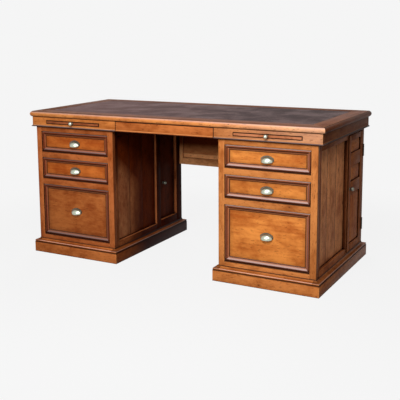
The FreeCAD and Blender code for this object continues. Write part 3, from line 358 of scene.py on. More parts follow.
class StudioSettings(bpy.types.PropertyGroup):
    """Camera, lamps and floor."""

    backdrop: colour("Backdrop", "Pale paper of the floor and backdrop", "#F5F5F5")
    bounce: colour("Floor's light", "What the floor throws back on the desk", "#A8A8A8")
    shadow: setting("Floor shadow", "Share of the desk's shadow seen on the floor", 0.06, min=0.0, max=1.0)
    eye: setting(
        "Camera place",
        "Where the camera stands, from the point under the middle of the desk",
        (1.904748, -3.614741, 1.234576),
        subtype="TRANSLATION",
        unit="LENGTH",
    )
    turn: setting("Turn", "Camera's turn from the desk's front", math.radians(29.471), subtype="ANGLE")
    tilt: setting("Tilt", "How far the camera looks down", math.radians(8.935), subtype="ANGLE")
    roll: setting("Roll", "Camera's lean about its own axis", math.radians(-0.613), subtype="ANGLE")
    lens: setting("Lens", "Focal length in millimetres on a 36 mm frame", 68.80, min=10.0, max=300.0)
    shift: setting("Shift", "The frame's place right and up of the lens's axis, in widths", (0.0625, -0.1329))
    key: setting("Key lamp", "Power of the high front lamp", 84.0, unit="POWER")
    front: setting("Front lamp", "Power of the low front lamp", 34.0, unit="POWER")
    back: setting("Back lamp", "Power of the lamp behind", 60.0, unit="POWER")
    ambient: setting("Room light", "Even light from all round", 0.10, subtype="FACTOR", min=0.0, max=2.0)


# ---- what the finishes share
def mask(tree, share, *ranges):
    """share times a smooth step for each range: a value, where its step starts and where it ends."""
    for value, start, end in ranges:
        step = {"Value": value, "From Min": start, "From Max": end}
        step = add(tree, "ShaderNodeMapRange", step, interpolation_type="SMOOTHSTEP")
        share = add(tree, "ShaderNodeMath", {0: share, 1: step}, operation="MULTIPLY")
    return share


def largest(tree, *values):
    """The largest of several values."""
    most = values[0]
    for value in values[1:]:
        most = add(tree, "ShaderNodeMath", {0: most, 1: value}, operation="MAXIMUM")
    return most


# ---- pine: what is read from a board, its patterns, and the layers of its finish
@dataclasses.dataclass
class PineLook:
    """How one pine finish differs from the next. Lengths are in millimetres, and shares go from 0 to 1."""

    crown: tuple = ()  # stain and streak colours of faces that look up, darker as painted shade
    moulded: tuple = ()  # stain of slim boards
    lines: tuple = ()  # glaze and painted shadow lines: one of Board's measures, where it starts and ends, and its share
    joint: float = 0.0  # breadth of the glaze line along each board's long edges
    fallen: float = 0.0  # share of painted shade where slim boards face down
    burnt: float = 0.0  # how much a panel darkens towards its outline
    faded: float = 0.0  # how much the front is painted paler towards the right end, a painted light
    bloom: float = 0.0  # share of painted highlight where faces look up, on slim boards alone if moulded is given
    lip: float = 0.0  # height above each board's foot that the painted highlight keeps to
    smoked: object = None  # function that says where painted shade darkens the timber in and round the kneehole
    returns: float = 0.0  # how much painted shade darkens the frames' front edges at the desk's ends
    ends: float = 0.0  # how much painted shade darkens faces that look left or right
    standing: bool = False  # it stands on the floor, gathers no glaze from it, and has ledges at its ends that take painted shade
    reach: float = 7.0  # how far from a corner glaze and painted shade pool
    pool: float = 0.95  # share of glaze and painted shade in a corner
    grime: float = 0.35  # share of the soft dirt and painted shade towards corners
    flecks: float = 0.75  # how dark the short flecks are
    rough: float = 0.42  # the varnish's roughness, which streaks vary a little
    sheen: float = 0.04  # how much the varnish reflects


class Board:
    """What a pine finish reads at a point of a board: its place, the way its face looks, what board_reader
    marked, and in metres how far the point lies inside the box of its board and of its node.

    A glaze line, or a line of painted shadow, is drawn along one of the measures: from the node's outline as
    the front shows it, from the node's sole, or from the board's own foot or head."""

    def __init__(self, tree):
        self.place = place = add(tree, "ShaderNodeTexCoord", output="Object")
        marks = ("grain", "across", "chance", "stain", "board_low", "board_high", "node_low", "node_high")
        self.grain, self.across, self.chance, self.stain, low, high, sole, crest = [
            add(tree, "ShaderNodeAttribute", output="Vector", attribute_name=name) for name in marks
        ]
        sides, past_low, short_of_high, past_sole, short_of_crest = [
            add(tree, "ShaderNodeVectorMath", {0: far, 1: near}, operation="SUBTRACT")
            for far, near in ((high, low), (place, low), (high, place), (place, sole), (crest, place))
        ]
        self.inside = add(tree, "ShaderNodeVectorMath", {0: past_low, 1: short_of_high}, operation="MINIMUM")
        in_node = add(tree, "ShaderNodeVectorMath", {0: past_sole, 1: short_of_crest}, operation="MINIMUM")
        normal = add(tree, "ShaderNodeNewGeometry", output="Normal")
        self.at, self.facing, past_low, short_of_high, past_sole, in_node = [
            add(tree, "ShaderNodeSeparateXYZ", {0: vector}).node.outputs
            for vector in (place, normal, past_low, short_of_high, past_sole, in_node)
        ]
        self.from_end, self.behind_front = in_node[0], past_sole[1]
        self.measures = {
            "outline": add(tree, "ShaderNodeMath", {0: in_node[0], 1: in_node[2]}, operation="MINIMUM"),
            "sole": past_sole[2],
            "foot": past_low[2],
            "head": short_of_high[2],
        }
        span = {0: sides, 1: self.across}
        breadth = add(tree, "ShaderNodeVectorMath", span, output="Value", operation="DOT_PRODUCT")
        self.slim = mask(tree, 1.0, (breadth, SLIM + MM, SLIM - MM))
        self.aside = add(tree, "ShaderNodeMath", {0: self.at[0]}, operation="ABSOLUTE")
        self.sideways = add(tree, "ShaderNodeMath", {0: self.facing[0]}, operation="ABSOLUTE")


def knots(tree, cell, where):
    """Knots up to 10 mm across and nail holes: how dark they are with the halo round each, and how far they
    push the growth rings aside."""
    spots = add(tree, "ShaderNodeTexVoronoi", {"Vector": where, "Scale": 1 / cell, "Randomness": 1.0}).node
    apart = add(tree, "ShaderNodeMath", {0: spots.outputs["Distance"], 1: cell / MM}, operation="MULTIPLY")
    lot = add(tree, "ShaderNodeSeparateXYZ", {0: spots.outputs["Color"]}).node.outputs[0]
    # In millimetres. A cell whose lot is under 0.45 holds only a nail hole.
    radius = add(tree, "ShaderNodeMapRange", {"Value": lot, "From Min": 0.45, "From Max": 1.0, "To Max": 5.0})
    depth = add(tree, "ShaderNodeMath", {0: radius, 1: apart}, operation="SUBTRACT")
    push = {"Value": depth, "From Min": -22.0, "From Max": 0.0, "To Max": 0.10}
    dark = largest(tree, mask(tree, 0.9, (depth, -0.8, 1.0)), mask(tree, 0.35, (depth, -9.0, 0.0)))
    return dark, add(tree, "ShaderNodeMapRange", push)


def growth_rings(tree, timber, where, push):
    """Level lines of a slow noise, which make the arches of a plain-sawn board."""
    rings = 13.0  # to one cell of the noise
    field = {"Vector": where, "Scale": 1 / (rings * timber.ring_pitch), "Detail": 1.5, "Roughness": 0.45}
    field = add(tree, "ShaderNodeTexNoise", field)
    field = add(tree, "ShaderNodeMath", {0: field, 1: push}, operation="ADD")
    turns = add(tree, "ShaderNodeMath", {0: field, 1: 2 * math.pi * rings}, operation="MULTIPLY")
    wave = add(tree, "ShaderNodeMath", {0: turns}, operation="SINE")
    return mask(tree, 1.0, (wave, -0.3, 1.0))


def pine_patterns(tree, timber, board):
    """The patterns by name: noises from broad patches to short flecks, knots, and tone, which is how dark the
    stain takes."""
    # Each pattern is drawn out along the grain by leaving out this share of the way along it, and every board
    # shows a part of it that lies up to some metres from the next board's.
    metres = (5.0, 5.0, 5.0)
    way = {0: board.place, 1: board.grain}
    along = add(tree, "ShaderNodeVectorMath", way, output="Value", operation="DOT_PRODUCT")
    drawn = {}
    for kind, share in (("rings", 0.93), ("pores", 0.96), ("flecks", 0.78), ("clouds", 0.45)):
        taken = add(tree, "ShaderNodeMath", {0: along, 1: share}, operation="MULTIPLY")
        taken = add(tree, "ShaderNodeVectorMath", {0: board.grain, "Scale": taken}, operation="SCALE")
        shape = add(tree, "ShaderNodeVectorMath", {0: board.place, 1: taken}, operation="SUBTRACT")
        moved = {0: board.chance, 1: metres, 2: shape}
        drawn[kind] = add(tree, "ShaderNodeVectorMath", moved, operation="MULTIPLY_ADD")

    patterns = {}
    for name, kind, pitch, detail in (
        ("patch", "clouds", timber.patch_pitch, 2.0),
        ("cloud", "clouds", timber.cloud_pitch, 3.0),
        ("streak", "pores", timber.streak_pitch, 3.0),
        ("pore", "pores", timber.pore_pitch, 3.0),
        ("fleck", "flecks", timber.fleck_pitch, 2.0),
    ):
        noise = {"Vector": drawn[kind], "Scale": 1 / pitch, "Detail": detail, "Roughness": 0.58}
        patterns[name] = add(tree, "ShaderNodeTexNoise", noise)
    patterns["knot"], push = knots(tree, timber.knot_spacing, drawn["clouds"])
    patterns["ring"] = growth_rings(tree, timber, drawn["rings"], push)

    tone = -1.70  # so that the sum lies about nought
    for name, weight in (("patch", 1.5), ("cloud", 1.1), ("streak", 0.55), ("pore", 0.25), ("ring", 0.07)):
        tone = add(tree, "ShaderNodeMath", {0: patterns[name], 1: weight, 2: tone}, operation="MULTIPLY_ADD")
    patterns["tone"] = mask(tree, 1.0, (tone, -0.42, 0.62))
    return patterns


def stained(tree, board, look, tone, light, dark):
    """The stained timber, with faces that look up in their own stain, darker as painted shade, and slim
    boards in their own stain. Each board is a little lighter or darker than the next, and dress tints the
    whole piece."""
    pale, deep = rgba(light), rgba(dark)
    if look.crown:
        upward = mask(tree, 1.0, (board.facing[2], SLOPING, LEVEL))
        pale = add(tree, "ShaderNodeMix", {0: upward, 6: pale, 7: rgba(look.crown[0])}, **COLOURS)
        deep = add(tree, "ShaderNodeMix", {0: upward, 6: deep, 7: rgba(look.crown[1])}, **COLOURS)
    if look.moulded:
        pale = add(tree, "ShaderNodeMix", {0: board.slim, 6: pale, 7: rgba(look.moulded)}, **COLOURS)
    shade = add(tree, "ShaderNodeMix", {0: tone, 6: pale, 7: deep}, **COLOURS)
    lot = add(tree, "ShaderNodeSeparateXYZ", {0: board.chance}).node.outputs[0]
    level = add(tree, "ShaderNodeMapRange", {"Value": lot, "To Min": 0.84, "To Max": 1.08})
    shade = add(tree, "ShaderNodeVectorMath", {0: shade, "Scale": level}, operation="SCALE")
    return add(tree, "ShaderNodeVectorMath", {0: shade, 1: board.stain}, operation="MULTIPLY")


def glazed(tree, board, look, cloud):
    """Where near-black glaze and painted shade lie: pooled in corners, in glaze lines and painted shadow
    lines, in joints, and where slim boards face down.
    """
    tight = {"Distance": look.reach * MM}
    tight = add(tree, "ShaderNodeAmbientOcclusion", tight, output="AO", samples=8, only_local=look.standing)
    tight = add(tree, "ShaderNodeMath", {0: cloud, 1: 0.3, 2: tight}, operation="MULTIPLY_ADD")
    # Glaze pooled in corners, which is also painted shade there.
    places = [mask(tree, look.pool, (tight, 0.95, 0.62))]
    for measure, start, end, most in look.lines:
        middle, half = (start + end) / 2 * MM, (end - start) / 2 * MM
        off = add(tree, "ShaderNodeMath", {0: board.measures[measure], 1: middle}, operation="SUBTRACT")
        off = add(tree, "ShaderNodeMath", {0: off}, operation="ABSOLUTE")
        ranges = [(off, half + SOFT, half - SOFT)]
        if measure in ("outline", "sole"):
            # On the node's front 12 mm alone, not on the edges that an open drawer shows.
            ranges.append((board.behind_front, 14.0 * MM, 12.0 * MM))
        if look.crown:
            ranges.append((board.facing[2], LEVEL, SLOPING))
        places.append(mask(tree, most, *ranges))
    if look.joint:
        # A square bar has no axis across it, so it has no such line.
        span = {0: board.inside, 1: board.across}
        edge = add(tree, "ShaderNodeVectorMath", span, output="Value", operation="DOT_PRODUCT")
        flat = add(tree, "ShaderNodeVectorMath", {0: board.across}, output="Value", operation="LENGTH")
        breadth = look.joint * MM
        places.append(mask(tree, 0.8, (edge, breadth + SOFT, breadth - SOFT), (flat, 0.0, 1.0)))
    # Painted shade where slim boards face down.
    if look.fallen:
        under = mask(tree, look.fallen, (board.facing[2], -0.1, -0.5))
        places.append(add(tree, "ShaderNodeMath", {0: under, 1: board.slim}, operation="MULTIPLY"))
    return largest(tree, *places)


def waxed(tree, board, look):
    """Where the painted highlight lies: on faces that look up, and half as much on faces that look left."""
    leftward = add(tree, "ShaderNodeMath", {0: board.facing[0], 1: -0.5}, operation="MULTIPLY")
    ranges = [(largest(tree, board.facing[2], leftward), 0.15, 0.7)]
    if look.moulded:
        ranges.append((board.slim, 0.0, 1.0))
    if look.crown:
        ranges.append((board.facing[2], 0.95, 0.8))
    if look.lip:
        ranges.append((board.measures["foot"], (look.lip + 2.0) * MM, look.lip * MM))
    return mask(tree, look.bloom, *ranges)


def kneehole_smoke(tree, board):
    """Where painted shade darkens the kneehole: on faces to its left and right, most towards its top and
    back.
    """
    rise = mask(tree, 0.60, (board.at[2], 0.457 * HEIGHT, 0.788 * HEIGHT))
    back = mask(tree, 0.85, (board.at[1], -1.065 * HALF_DEPTH, 0.127 * HALF_DEPTH))
    smoke = 0.30
    for more in (rise, back):
        smoke = add(tree, "ShaderNodeMath", {0: smoke, 1: more}, operation="ADD", use_clamp=True)
    return mask(tree, smoke, (board.aside, NEAR_SIDE + MM, NEAR_SIDE - MM), (board.sideways, 0.4, 0.8))


def apron_smoke(tree, board):
    """Where the apron is darkened: with painted shade on its front towards the top, and on its back like the
    boards beside it.
    """
    rise = mask(tree, 1.1, (board.at[2], 0.578 * HEIGHT, 0.724 * HEIGHT))
    rise = add(tree, "ShaderNodeMath", {0: rise, 1: 1.0}, operation="MINIMUM")
    front = mask(tree, rise, (board.facing[1], 0.3, -0.3))
    return largest(tree, front, mask(tree, 0.4, (board.facing[1], 0.3, 0.8)))


def dark_ends(tree, board, look):
    """Where painted shade darkens the ends: on faces that look left or right, and on a standing piece's
    ledges there.
    """
    sideways = board.sideways
    if look.standing:
        ledge = mask(tree, 1.0, (board.from_end, 40.0 * MM, 32.0 * MM), (board.facing[2], 0.2, 0.6))
        sideways = largest(tree, sideways, ledge)
    return mask(tree, look.ends, (sideways, 0.35, 0.75))


def pine(name, light, dark, **looks):
    """Reclaimed pine, planed, stained, glazed and varnished satin: the stain takes in soft clouds with faint
    growth rings and short dark flecks along each board, boards differ a little in tone, knots and nail holes
    are dark dots, and a dark glaze fills corners, quirks and joints. Painted shade darkens corners, the
    kneehole, the ends and faces under mouldings, and painted light and highlights pale the right end and
    faces that look up, as the looks ask. looks are fields of PineLook."""
    look = PineLook(**looks)
    timber = bpy.context.scene.desk_timber
    material, tree = new_material(name)
    board = Board(tree)
    patterns = pine_patterns(tree, timber, board)
    # How much timber is under the surface within 2 mm, and how open the space over it is within 40 mm.
    crest, near = [
        add(tree, "ShaderNodeAmbientOcclusion", {"Distance": distance * MM}, output="AO", **kind)
        for distance, kind in (
            (2.0, {"samples": 6, "inside": True, "only_local": True}),
            (40.0, {"samples": 8, "only_local": look.standing}),
        )
    ]

    # Layers over the stain: where each lies, its colour, and whether it covers or multiplies what is below.
    layers = []
    if look.faded:
        # Painted light: upright faces to the front are drawn paler, more and more towards the desk's right
        # end.
        right = (board.at[0], 0.12 * HALF_LENGTH, 1.014 * HALF_LENGTH)
        layers.append((mask(tree, look.faded, (board.facing[1], -0.3, -0.8), right), timber.faded, "MIX"))
    specks = mask(tree, look.flecks, (patterns["fleck"], 0.60, 0.70))
    layers.append((largest(tree, patterns["knot"], specks), timber.knot, "MIX"))
    layers.append((mask(tree, 0.25, (crest, 0.95, 0.55)), timber.rubbed, "MIX"))
    # Dirt and painted shade where the space over a point is closed in within 40 mm.
    layers.append((mask(tree, look.grime, (near, 0.95, 0.35)), timber.glaze, "MIX"))
    # Darker towards a panel's outline.
    if look.burnt:
        edge = (board.measures["outline"], 50.0 * MM, 20.0 * MM)
        layers.append((mask(tree, look.burnt, edge), timber.glaze, "MIX"))
    # Painted shade in and round the kneehole.
    if look.smoked:
        layers.append((look.smoked(tree, board), timber.smoke, "MULTIPLY"))
    # Glaze and painted shade, as glazed gives them.
    layers.append((glazed(tree, board, look, patterns["cloud"]), timber.glaze, "MIX"))
    # Painted highlight on faces that look up, and on faces that look left.
    if look.bloom:
        layers.append((waxed(tree, board, look), timber.bloom, "MIX"))
    # Painted shade on front faces at the desk's ends.
    if look.returns:
        outer = (board.aside, NEAR_SIDE - MM, NEAR_SIDE + MM)
        edges = mask(tree, look.returns, (board.facing[1], -0.5, -0.8), outer)
        layers.append((edges, timber.smoke, "MULTIPLY"))
    # Painted shade on faces that look left or right.
    if look.ends:
        layers.append((dark_ends(tree, board, look), timber.smoke, "MULTIPLY"))
    shade = stained(tree, board, look, patterns["tone"], light, dark)
    for share, coat, way in layers:
        shade = add(tree, "ShaderNodeMix", {0: share, 6: shade, 7: rgba(coat)}, blend_type=way, **COLOURS)

    rough = {"Value": patterns["streak"], "To Min": look.rough - 0.06, "To Max": look.rough + 0.14}
    bump = {"Strength": 0.35, "Distance": 0.12 * MM, "Height": patterns["pore"]}
    surface = {
        "Base Color": shade,
        "Roughness": add(tree, "ShaderNodeMapRange", rough),
        "Normal": add(tree, "ShaderNodeBump", bump),
        "IOR": 1.5,
        "Specular IOR Level": look.sheen,
    }
    add(tree, "ShaderNodeOutputMaterial", {0: add(tree, "ShaderNodeBsdfPrincipled", surface)})
    return material


# ---- the other finishes
def glazed_hide():
    """Aniline-dyed cowhide, rolled flat and waxed: a fine pebble with dark creases, clouded where hands and
    papers have rubbed it, painted paler towards the left as a painted sheen, and a low sheen towards the
    light."""
    leather = bpy.context.scene.desk_leather
    material, tree = new_material("waxed_cowhide")
    place = add(tree, "ShaderNodeTexCoord", output="Object")
    pebble = {"Vector": place, "Scale": 1 / leather.pebble}
    pebble = add(tree, "ShaderNodeTexVoronoi", pebble, feature="DISTANCE_TO_EDGE")
    crease = add(tree, "ShaderNodeMapRange", {"Value": pebble, "From Min": 0.0, "From Max": 0.12})
    cloud = {"Vector": place, "Scale": 1 / leather.cloud, "Detail": 5.0, "Roughness": 0.62}
    cloud = mask(tree, 1.0, (add(tree, "ShaderNodeTexNoise", cloud), 0.36, 0.68))
    fine = add(tree, "ShaderNodeTexNoise", {"Vector": place, "Scale": 1 / leather.mottle, "Detail": 4.0})
    worn = add(tree, "ShaderNodeMath", {0: cloud, 1: fine}, operation="MULTIPLY")
    # Painted sheen: the hide is drawn palest towards the left.
    left = add(tree, "ShaderNodeSeparateXYZ", {0: place}).node.outputs[0]
    left = mask(tree, 0.75, (left, 0.597 * HALF_LENGTH, -0.955 * HALF_LENGTH))
    worn = add(tree, "ShaderNodeMath", {0: worn, 1: left}, operation="ADD", use_clamp=True)
    shade = add(tree, "ShaderNodeMix", {0: worn, 6: rgba(leather.hide), 7: rgba(leather.rubbed)}, **COLOURS)
    dim = add(tree, "ShaderNodeMapRange", {"Value": crease, "To Min": 0.72, "To Max": 1.0})
    bump = {"Strength": 0.5, "Distance": 0.15 * MM, "Height": crease}
    surface = {
        "Base Color": add(tree, "ShaderNodeVectorMath", {0: shade, "Scale": dim}, operation="SCALE"),
        "Roughness": add(tree, "ShaderNodeMapRange", {"Value": cloud, "To Min": 0.56, "To Max": 0.44}),
        "Normal": add(tree, "ShaderNodeBump", bump),
        "IOR": 1.5,
        "Specular IOR Level": 0.05,
    }
    add(tree, "ShaderNodeOutputMaterial", {0: add(tree, "ShaderNodeBsdfPrincipled", surface)})
    return material


def washed_brass(name, least_painted_shade=0.0):
    """Cast brass with a thin nickel wash, hand-worn: pale and bright on the crown, tarnish brown in corners,
    and a painted dark reflection on faces that look up. The last argument is the least share of tarnish
    colour anywhere on it, a painted shade for knobs that stand in shadow."""
    metal = bpy.context.scene.desk_metal
    material, tree = new_material(name)
    place = add(tree, "ShaderNodeTexCoord", output="Object")
    cast = add(tree, "ShaderNodeTexNoise", {"Vector": place, "Scale": 1 / metal.cast, "Detail": 4.0})
    upward = add(tree, "ShaderNodeNewGeometry", output="Normal")
    upward = add(tree, "ShaderNodeSeparateXYZ", {0: upward}).node.outputs[2]
    # Painted dark reflection: faces that look up are drawn towards the tarnish colour.
    painted_dark_reflection = mask(tree, 0.45, (upward, 0.40, 0.85))
    # The flange against the timber is never rubbed bright.
    back = add(tree, "ShaderNodeAttribute", output="Vector", attribute_name="board_high")
    proud = add(tree, "ShaderNodeVectorMath", {0: back, 1: place}, operation="SUBTRACT")
    proud = add(tree, "ShaderNodeSeparateXYZ", {0: proud}).node.outputs[1]
    flange = mask(tree, 0.85, (proud, 5.0 * MM, 2.5 * MM))
    corner = add(tree, "ShaderNodeAmbientOcclusion", {"Distance": 8.0 * MM}, output="AO", samples=8)
    corner = add(tree, "ShaderNodeMath", {0: cast, 1: 0.4, 2: corner}, operation="MULTIPLY_ADD")
    dull = largest(tree, mask(tree, 1.0, (corner, 1.12, 0.70)), painted_dark_reflection, flange, least_painted_shade)
    bump = {"Strength": 0.2, "Distance": 0.1 * MM, "Height": cast}
    shade = {0: dull, 6: rgba(metal.brass), 7: rgba(metal.tarnish)}
    surface = {
        "Base Color": add(tree, "ShaderNodeMix", shade, **COLOURS),
        "Roughness": add(tree, "ShaderNodeMapRange", {"Value": dull, "To Min": 0.34, "To Max": 0.5}),
        "Normal": add(tree, "ShaderNodeBump", bump),
        "Metallic": 1.0,
    }
    add(tree, "ShaderNodeOutputMaterial", {0: add(tree, "ShaderNodeBsdfPrincipled", surface)})
    return material


def blackened_steel():
    """Pressed steel, blackened in oil: nearly black, with a dull brown bloom."""
    metal = bpy.context.scene.desk_metal
    material, tree = new_material("oil_blackened_steel")
    place = add(tree, "ShaderNodeTexCoord", output="Object")
    mottle = add(tree, "ShaderNodeTexNoise", {"Vector": place, "Scale": 1 / metal.mottle, "Detail": 4.0})
    shade = {0: mottle, 6: rgba(metal.iron), 7: rgba(metal.rust)}
    surface = {
        "Base Color": add(tree, "ShaderNodeMix", shade, **COLOURS),
        "Roughness": add(tree, "ShaderNodeMapRange", {"Value": mottle, "To Min": 0.4, "To Max": 0.65}),
        "Metallic": 0.85,
    }
    add(tree, "ShaderNodeOutputMaterial", {0: add(tree, "ShaderNodeBsdfPrincipled", surface)})
    return material


def seen_directly(tree):
    """1 where a thing is seen, straight, in a gloss or through glass, and 0 where it only gives light."""
    path = add(tree, "ShaderNodeLightPath").node.outputs
    return largest(tree, *(path[f"Is {kind} Ray"] for kind in ("Camera", "Glossy", "Transmission")))


def studio_paper():
    """Seamless pale paper: seen plain and even, with the desk's faint shadow near its feet."""
    studio = bpy.context.scene.desk_studio
    material, tree = new_material("seamless_paper")
    place = add(tree, "ShaderNodeTexCoord", output="Object")
    away = add(tree, "ShaderNodeVectorMath", {0: place}, output="Value", operation="LENGTH")
    # In metres from the middle of the desk: the shadow is whole to 1.2 and gone at 2.2.
    near = mask(tree, studio.shadow, (away, 2.2, 1.2))
    paper = add(tree, "ShaderNodeBsdfDiffuse", {"Color": rgba(studio.backdrop)})
    plain = add(tree, "ShaderNodeEmission", {"Color": rgba(studio.backdrop)})
    seen = add(tree, "ShaderNodeMixShader", {0: near, 1: plain, 2: paper})
    bounce = add(tree, "ShaderNodeBsdfDiffuse", {"Color": rgba(studio.bounce)})
    shader = add(tree, "ShaderNodeMixShader", {0: seen_directly(tree), 1: bounce, 2: seen})
    add(tree, "ShaderNodeOutputMaterial", {0: shader})
    return material


# ---- operators, one for each group of pieces
class DESK_OT_top(bpy.types.Operator):
    """Finishes the mitred border, the leather and the board under it"""

    bl_idname = "desk.top"
    bl_label = "Top"

    def execute(self, context):
        timber = context.scene.desk_timber
        # The quirk over the rounded edge is drawn 4.5 mm broad, so that it shows. The foot line is painted
        # shadow under the edge, faces that look up take the darker border stain as painted shade, and the
        # nosing a painted highlight.
        lines = (("head", -1.0, 4.5, 0.85), ("foot", -1.0, 3.0, 0.6))
        look = {"crown": (timber.border, timber.border_dark), "lines": lines, "bloom": 0.3, "faded": 0.32}
        look |= {"ends": 0.9, "reach": 12.0, "sheen": 0.025}
        edge = pine("stained_pine_border", timber.edge, timber.edge_dark, **look)
        dress(["top_border"], edge, edge=0.8)
        dress(["leather_inlay"], glazed_hide())
        dress(["top_core"], bpy.data.materials["bare_pine"], edge=0.5)
        return {"FINISHED"}


class DESK_OT_frieze(bpy.types.Operator):
    """Finishes the frieze, its lip, the centre drawer's front and the writing slides"""

    bl_idname = "desk.frieze"
    bl_label = "Frieze, centre drawer and slides"

    def execute(self, context):
        boards, bead = (bpy.data.materials[f"stained_pine_{name}"] for name in ("frieze", "bead"))
        dress(["frieze_boards"], boards, edge=0.6, stain=(0.85, 0.87, 0.95))
        dress(["frieze_bead"], bead, edge=0.6, stain=(0.85, 0.95, 1.3))
        front = bpy.data.materials["stained_pine_front"]
        dress(["right_writing_slide"], front, edge=0.6, stain=(0.70, 0.80, 1.6))
        dress(["left_writing_slide"], front, edge=0.6, stain=(0.55, 0.50, 0.8))
        dress(["centre_drawer_front"], front, edge=0.6, stain=(0.70, 0.64, 0.72))
        dress(["drawer_bearers", "slide_guides", "locating_dowels"], bpy.data.materials["bare_pine"])
        return {"FINISHED"}


class DESK_OT_pedestals(bpy.types.Operator):
    """Finishes the face frames, sides, plinths and apron, and the boards inside"""

    bl_idname = "desk.pedestals"
    bl_label = "Pedestals and apron"

    def execute(self, context):
        frames = bpy.data.materials["stained_pine_frame"]
        sides = bpy.data.materials["stained_pine_side"]
        dress(["right_face_frame"], frames, edge=0.5, stain=(0.9, 0.98, 1.2))
        # The left pedestal is drawn darker and redder than the right.
        dress(["left_face_frame"], frames, edge=0.5, stain=(0.68, 0.60, 0.75))
        plinth = bpy.data.materials["stained_pine_plinth"]
        dress(["right_plinth"], plinth, edge=0.5, stain=(0.95, 1.0, 1.15))
        dress(["left_plinth"], plinth, edge=0.5, stain=(0.80, 0.75, 0.85))
        dress(both("{}_side_frames"), sides, edge=0.5)
        dress(both("{}_plank_panels"), bpy.data.materials["stained_pine_plank"], edge=0.5)
        dress(["rear_apron"], bpy.data.materials["stained_pine_apron"], edge=0.5)
        dress(both("{}_carcass_boards") + both("{}_drawer_runners"), bpy.data.materials["bare_pine"])
        return {"FINISHED"}


class DESK_OT_drawers(bpy.types.Operator):
    """Finishes the pedestal drawers: moulded fronts and dovetailed boxes"""

    bl_idname = "desk.drawers"
    bl_label = "Drawers"

    def execute(self, context):
        panel = bpy.data.materials["stained_pine_panel"]
        dress([f"right_{name}_drawer_front" for name in DRAWERS], panel, edge=0.5, stain=(0.98, 1.04, 1.25))
        # The left pedestal's drawer fronts are drawn darker than the right's, and take less painted
        # highlight.
        dull = bpy.data.materials["stained_pine_panel_less_highlight"]
        dress(["left_top_drawer_front", "left_middle_drawer_front"], dull, edge=0.5, stain=(0.82, 0.66, 0.66))
        dress(["left_bottom_drawer_front"], dull, edge=0.5, stain=(0.62, 0.57, 0.80))
        dress(each_drawer("box") + ["centre_drawer_box"], bpy.data.materials["bare_pine"])
        return {"FINISHED"}


class DESK_OT_doors(bpy.types.Operator):
    """Finishes the panelled outer doors and the plain inner doors"""

    bl_idname = "desk.doors"
    bl_label = "Doors"

    def execute(self, context):
        sides = bpy.data.materials["stained_pine_side"]
        dress(both("{}_outer_door_frame"), sides, edge=0.6)
        planks = bpy.data.materials["stained_pine_plank"]
        dress(both("{}_outer_door_panels"), planks, edge=0.6, stain=(0.72, 0.60, 0.50))
        # Painted shade: the kneehole doors are darkened further for the shade deep in the kneehole.
        umber = bpy.data.materials["stained_pine_shaded_umber"]
        dress(both("{}_inner_door"), umber, edge=0.6, stain=(0.5, 0.38, 0.4))
        return {"FINISHED"}


class DESK_OT_metalwork(bpy.types.Operator):
    """Finishes the cup pulls, knobs, pivots and hinges"""

    bl_idname = "desk.metalwork"
    bl_label = "Pulls, knobs and hinges"

    def execute(self, context):
        dress(each_drawer("pull") + both("{}_slide_knob"), washed_brass("nickel_washed_cast_brass"))
        knobs = both("{}_outer_door_knob") + both("{}_inner_door_fittings")
        # Painted shade: the door knobs are drawn mostly in the tarnish colour, for the shadow they stand in.
        dress(knobs, washed_brass("shaded_cast_brass", least_painted_shade=0.8))
        dress(both("{}_hinge_plates") + both("{}_outer_door_hinges"), blackened_steel())
        return {"FINISHED"}


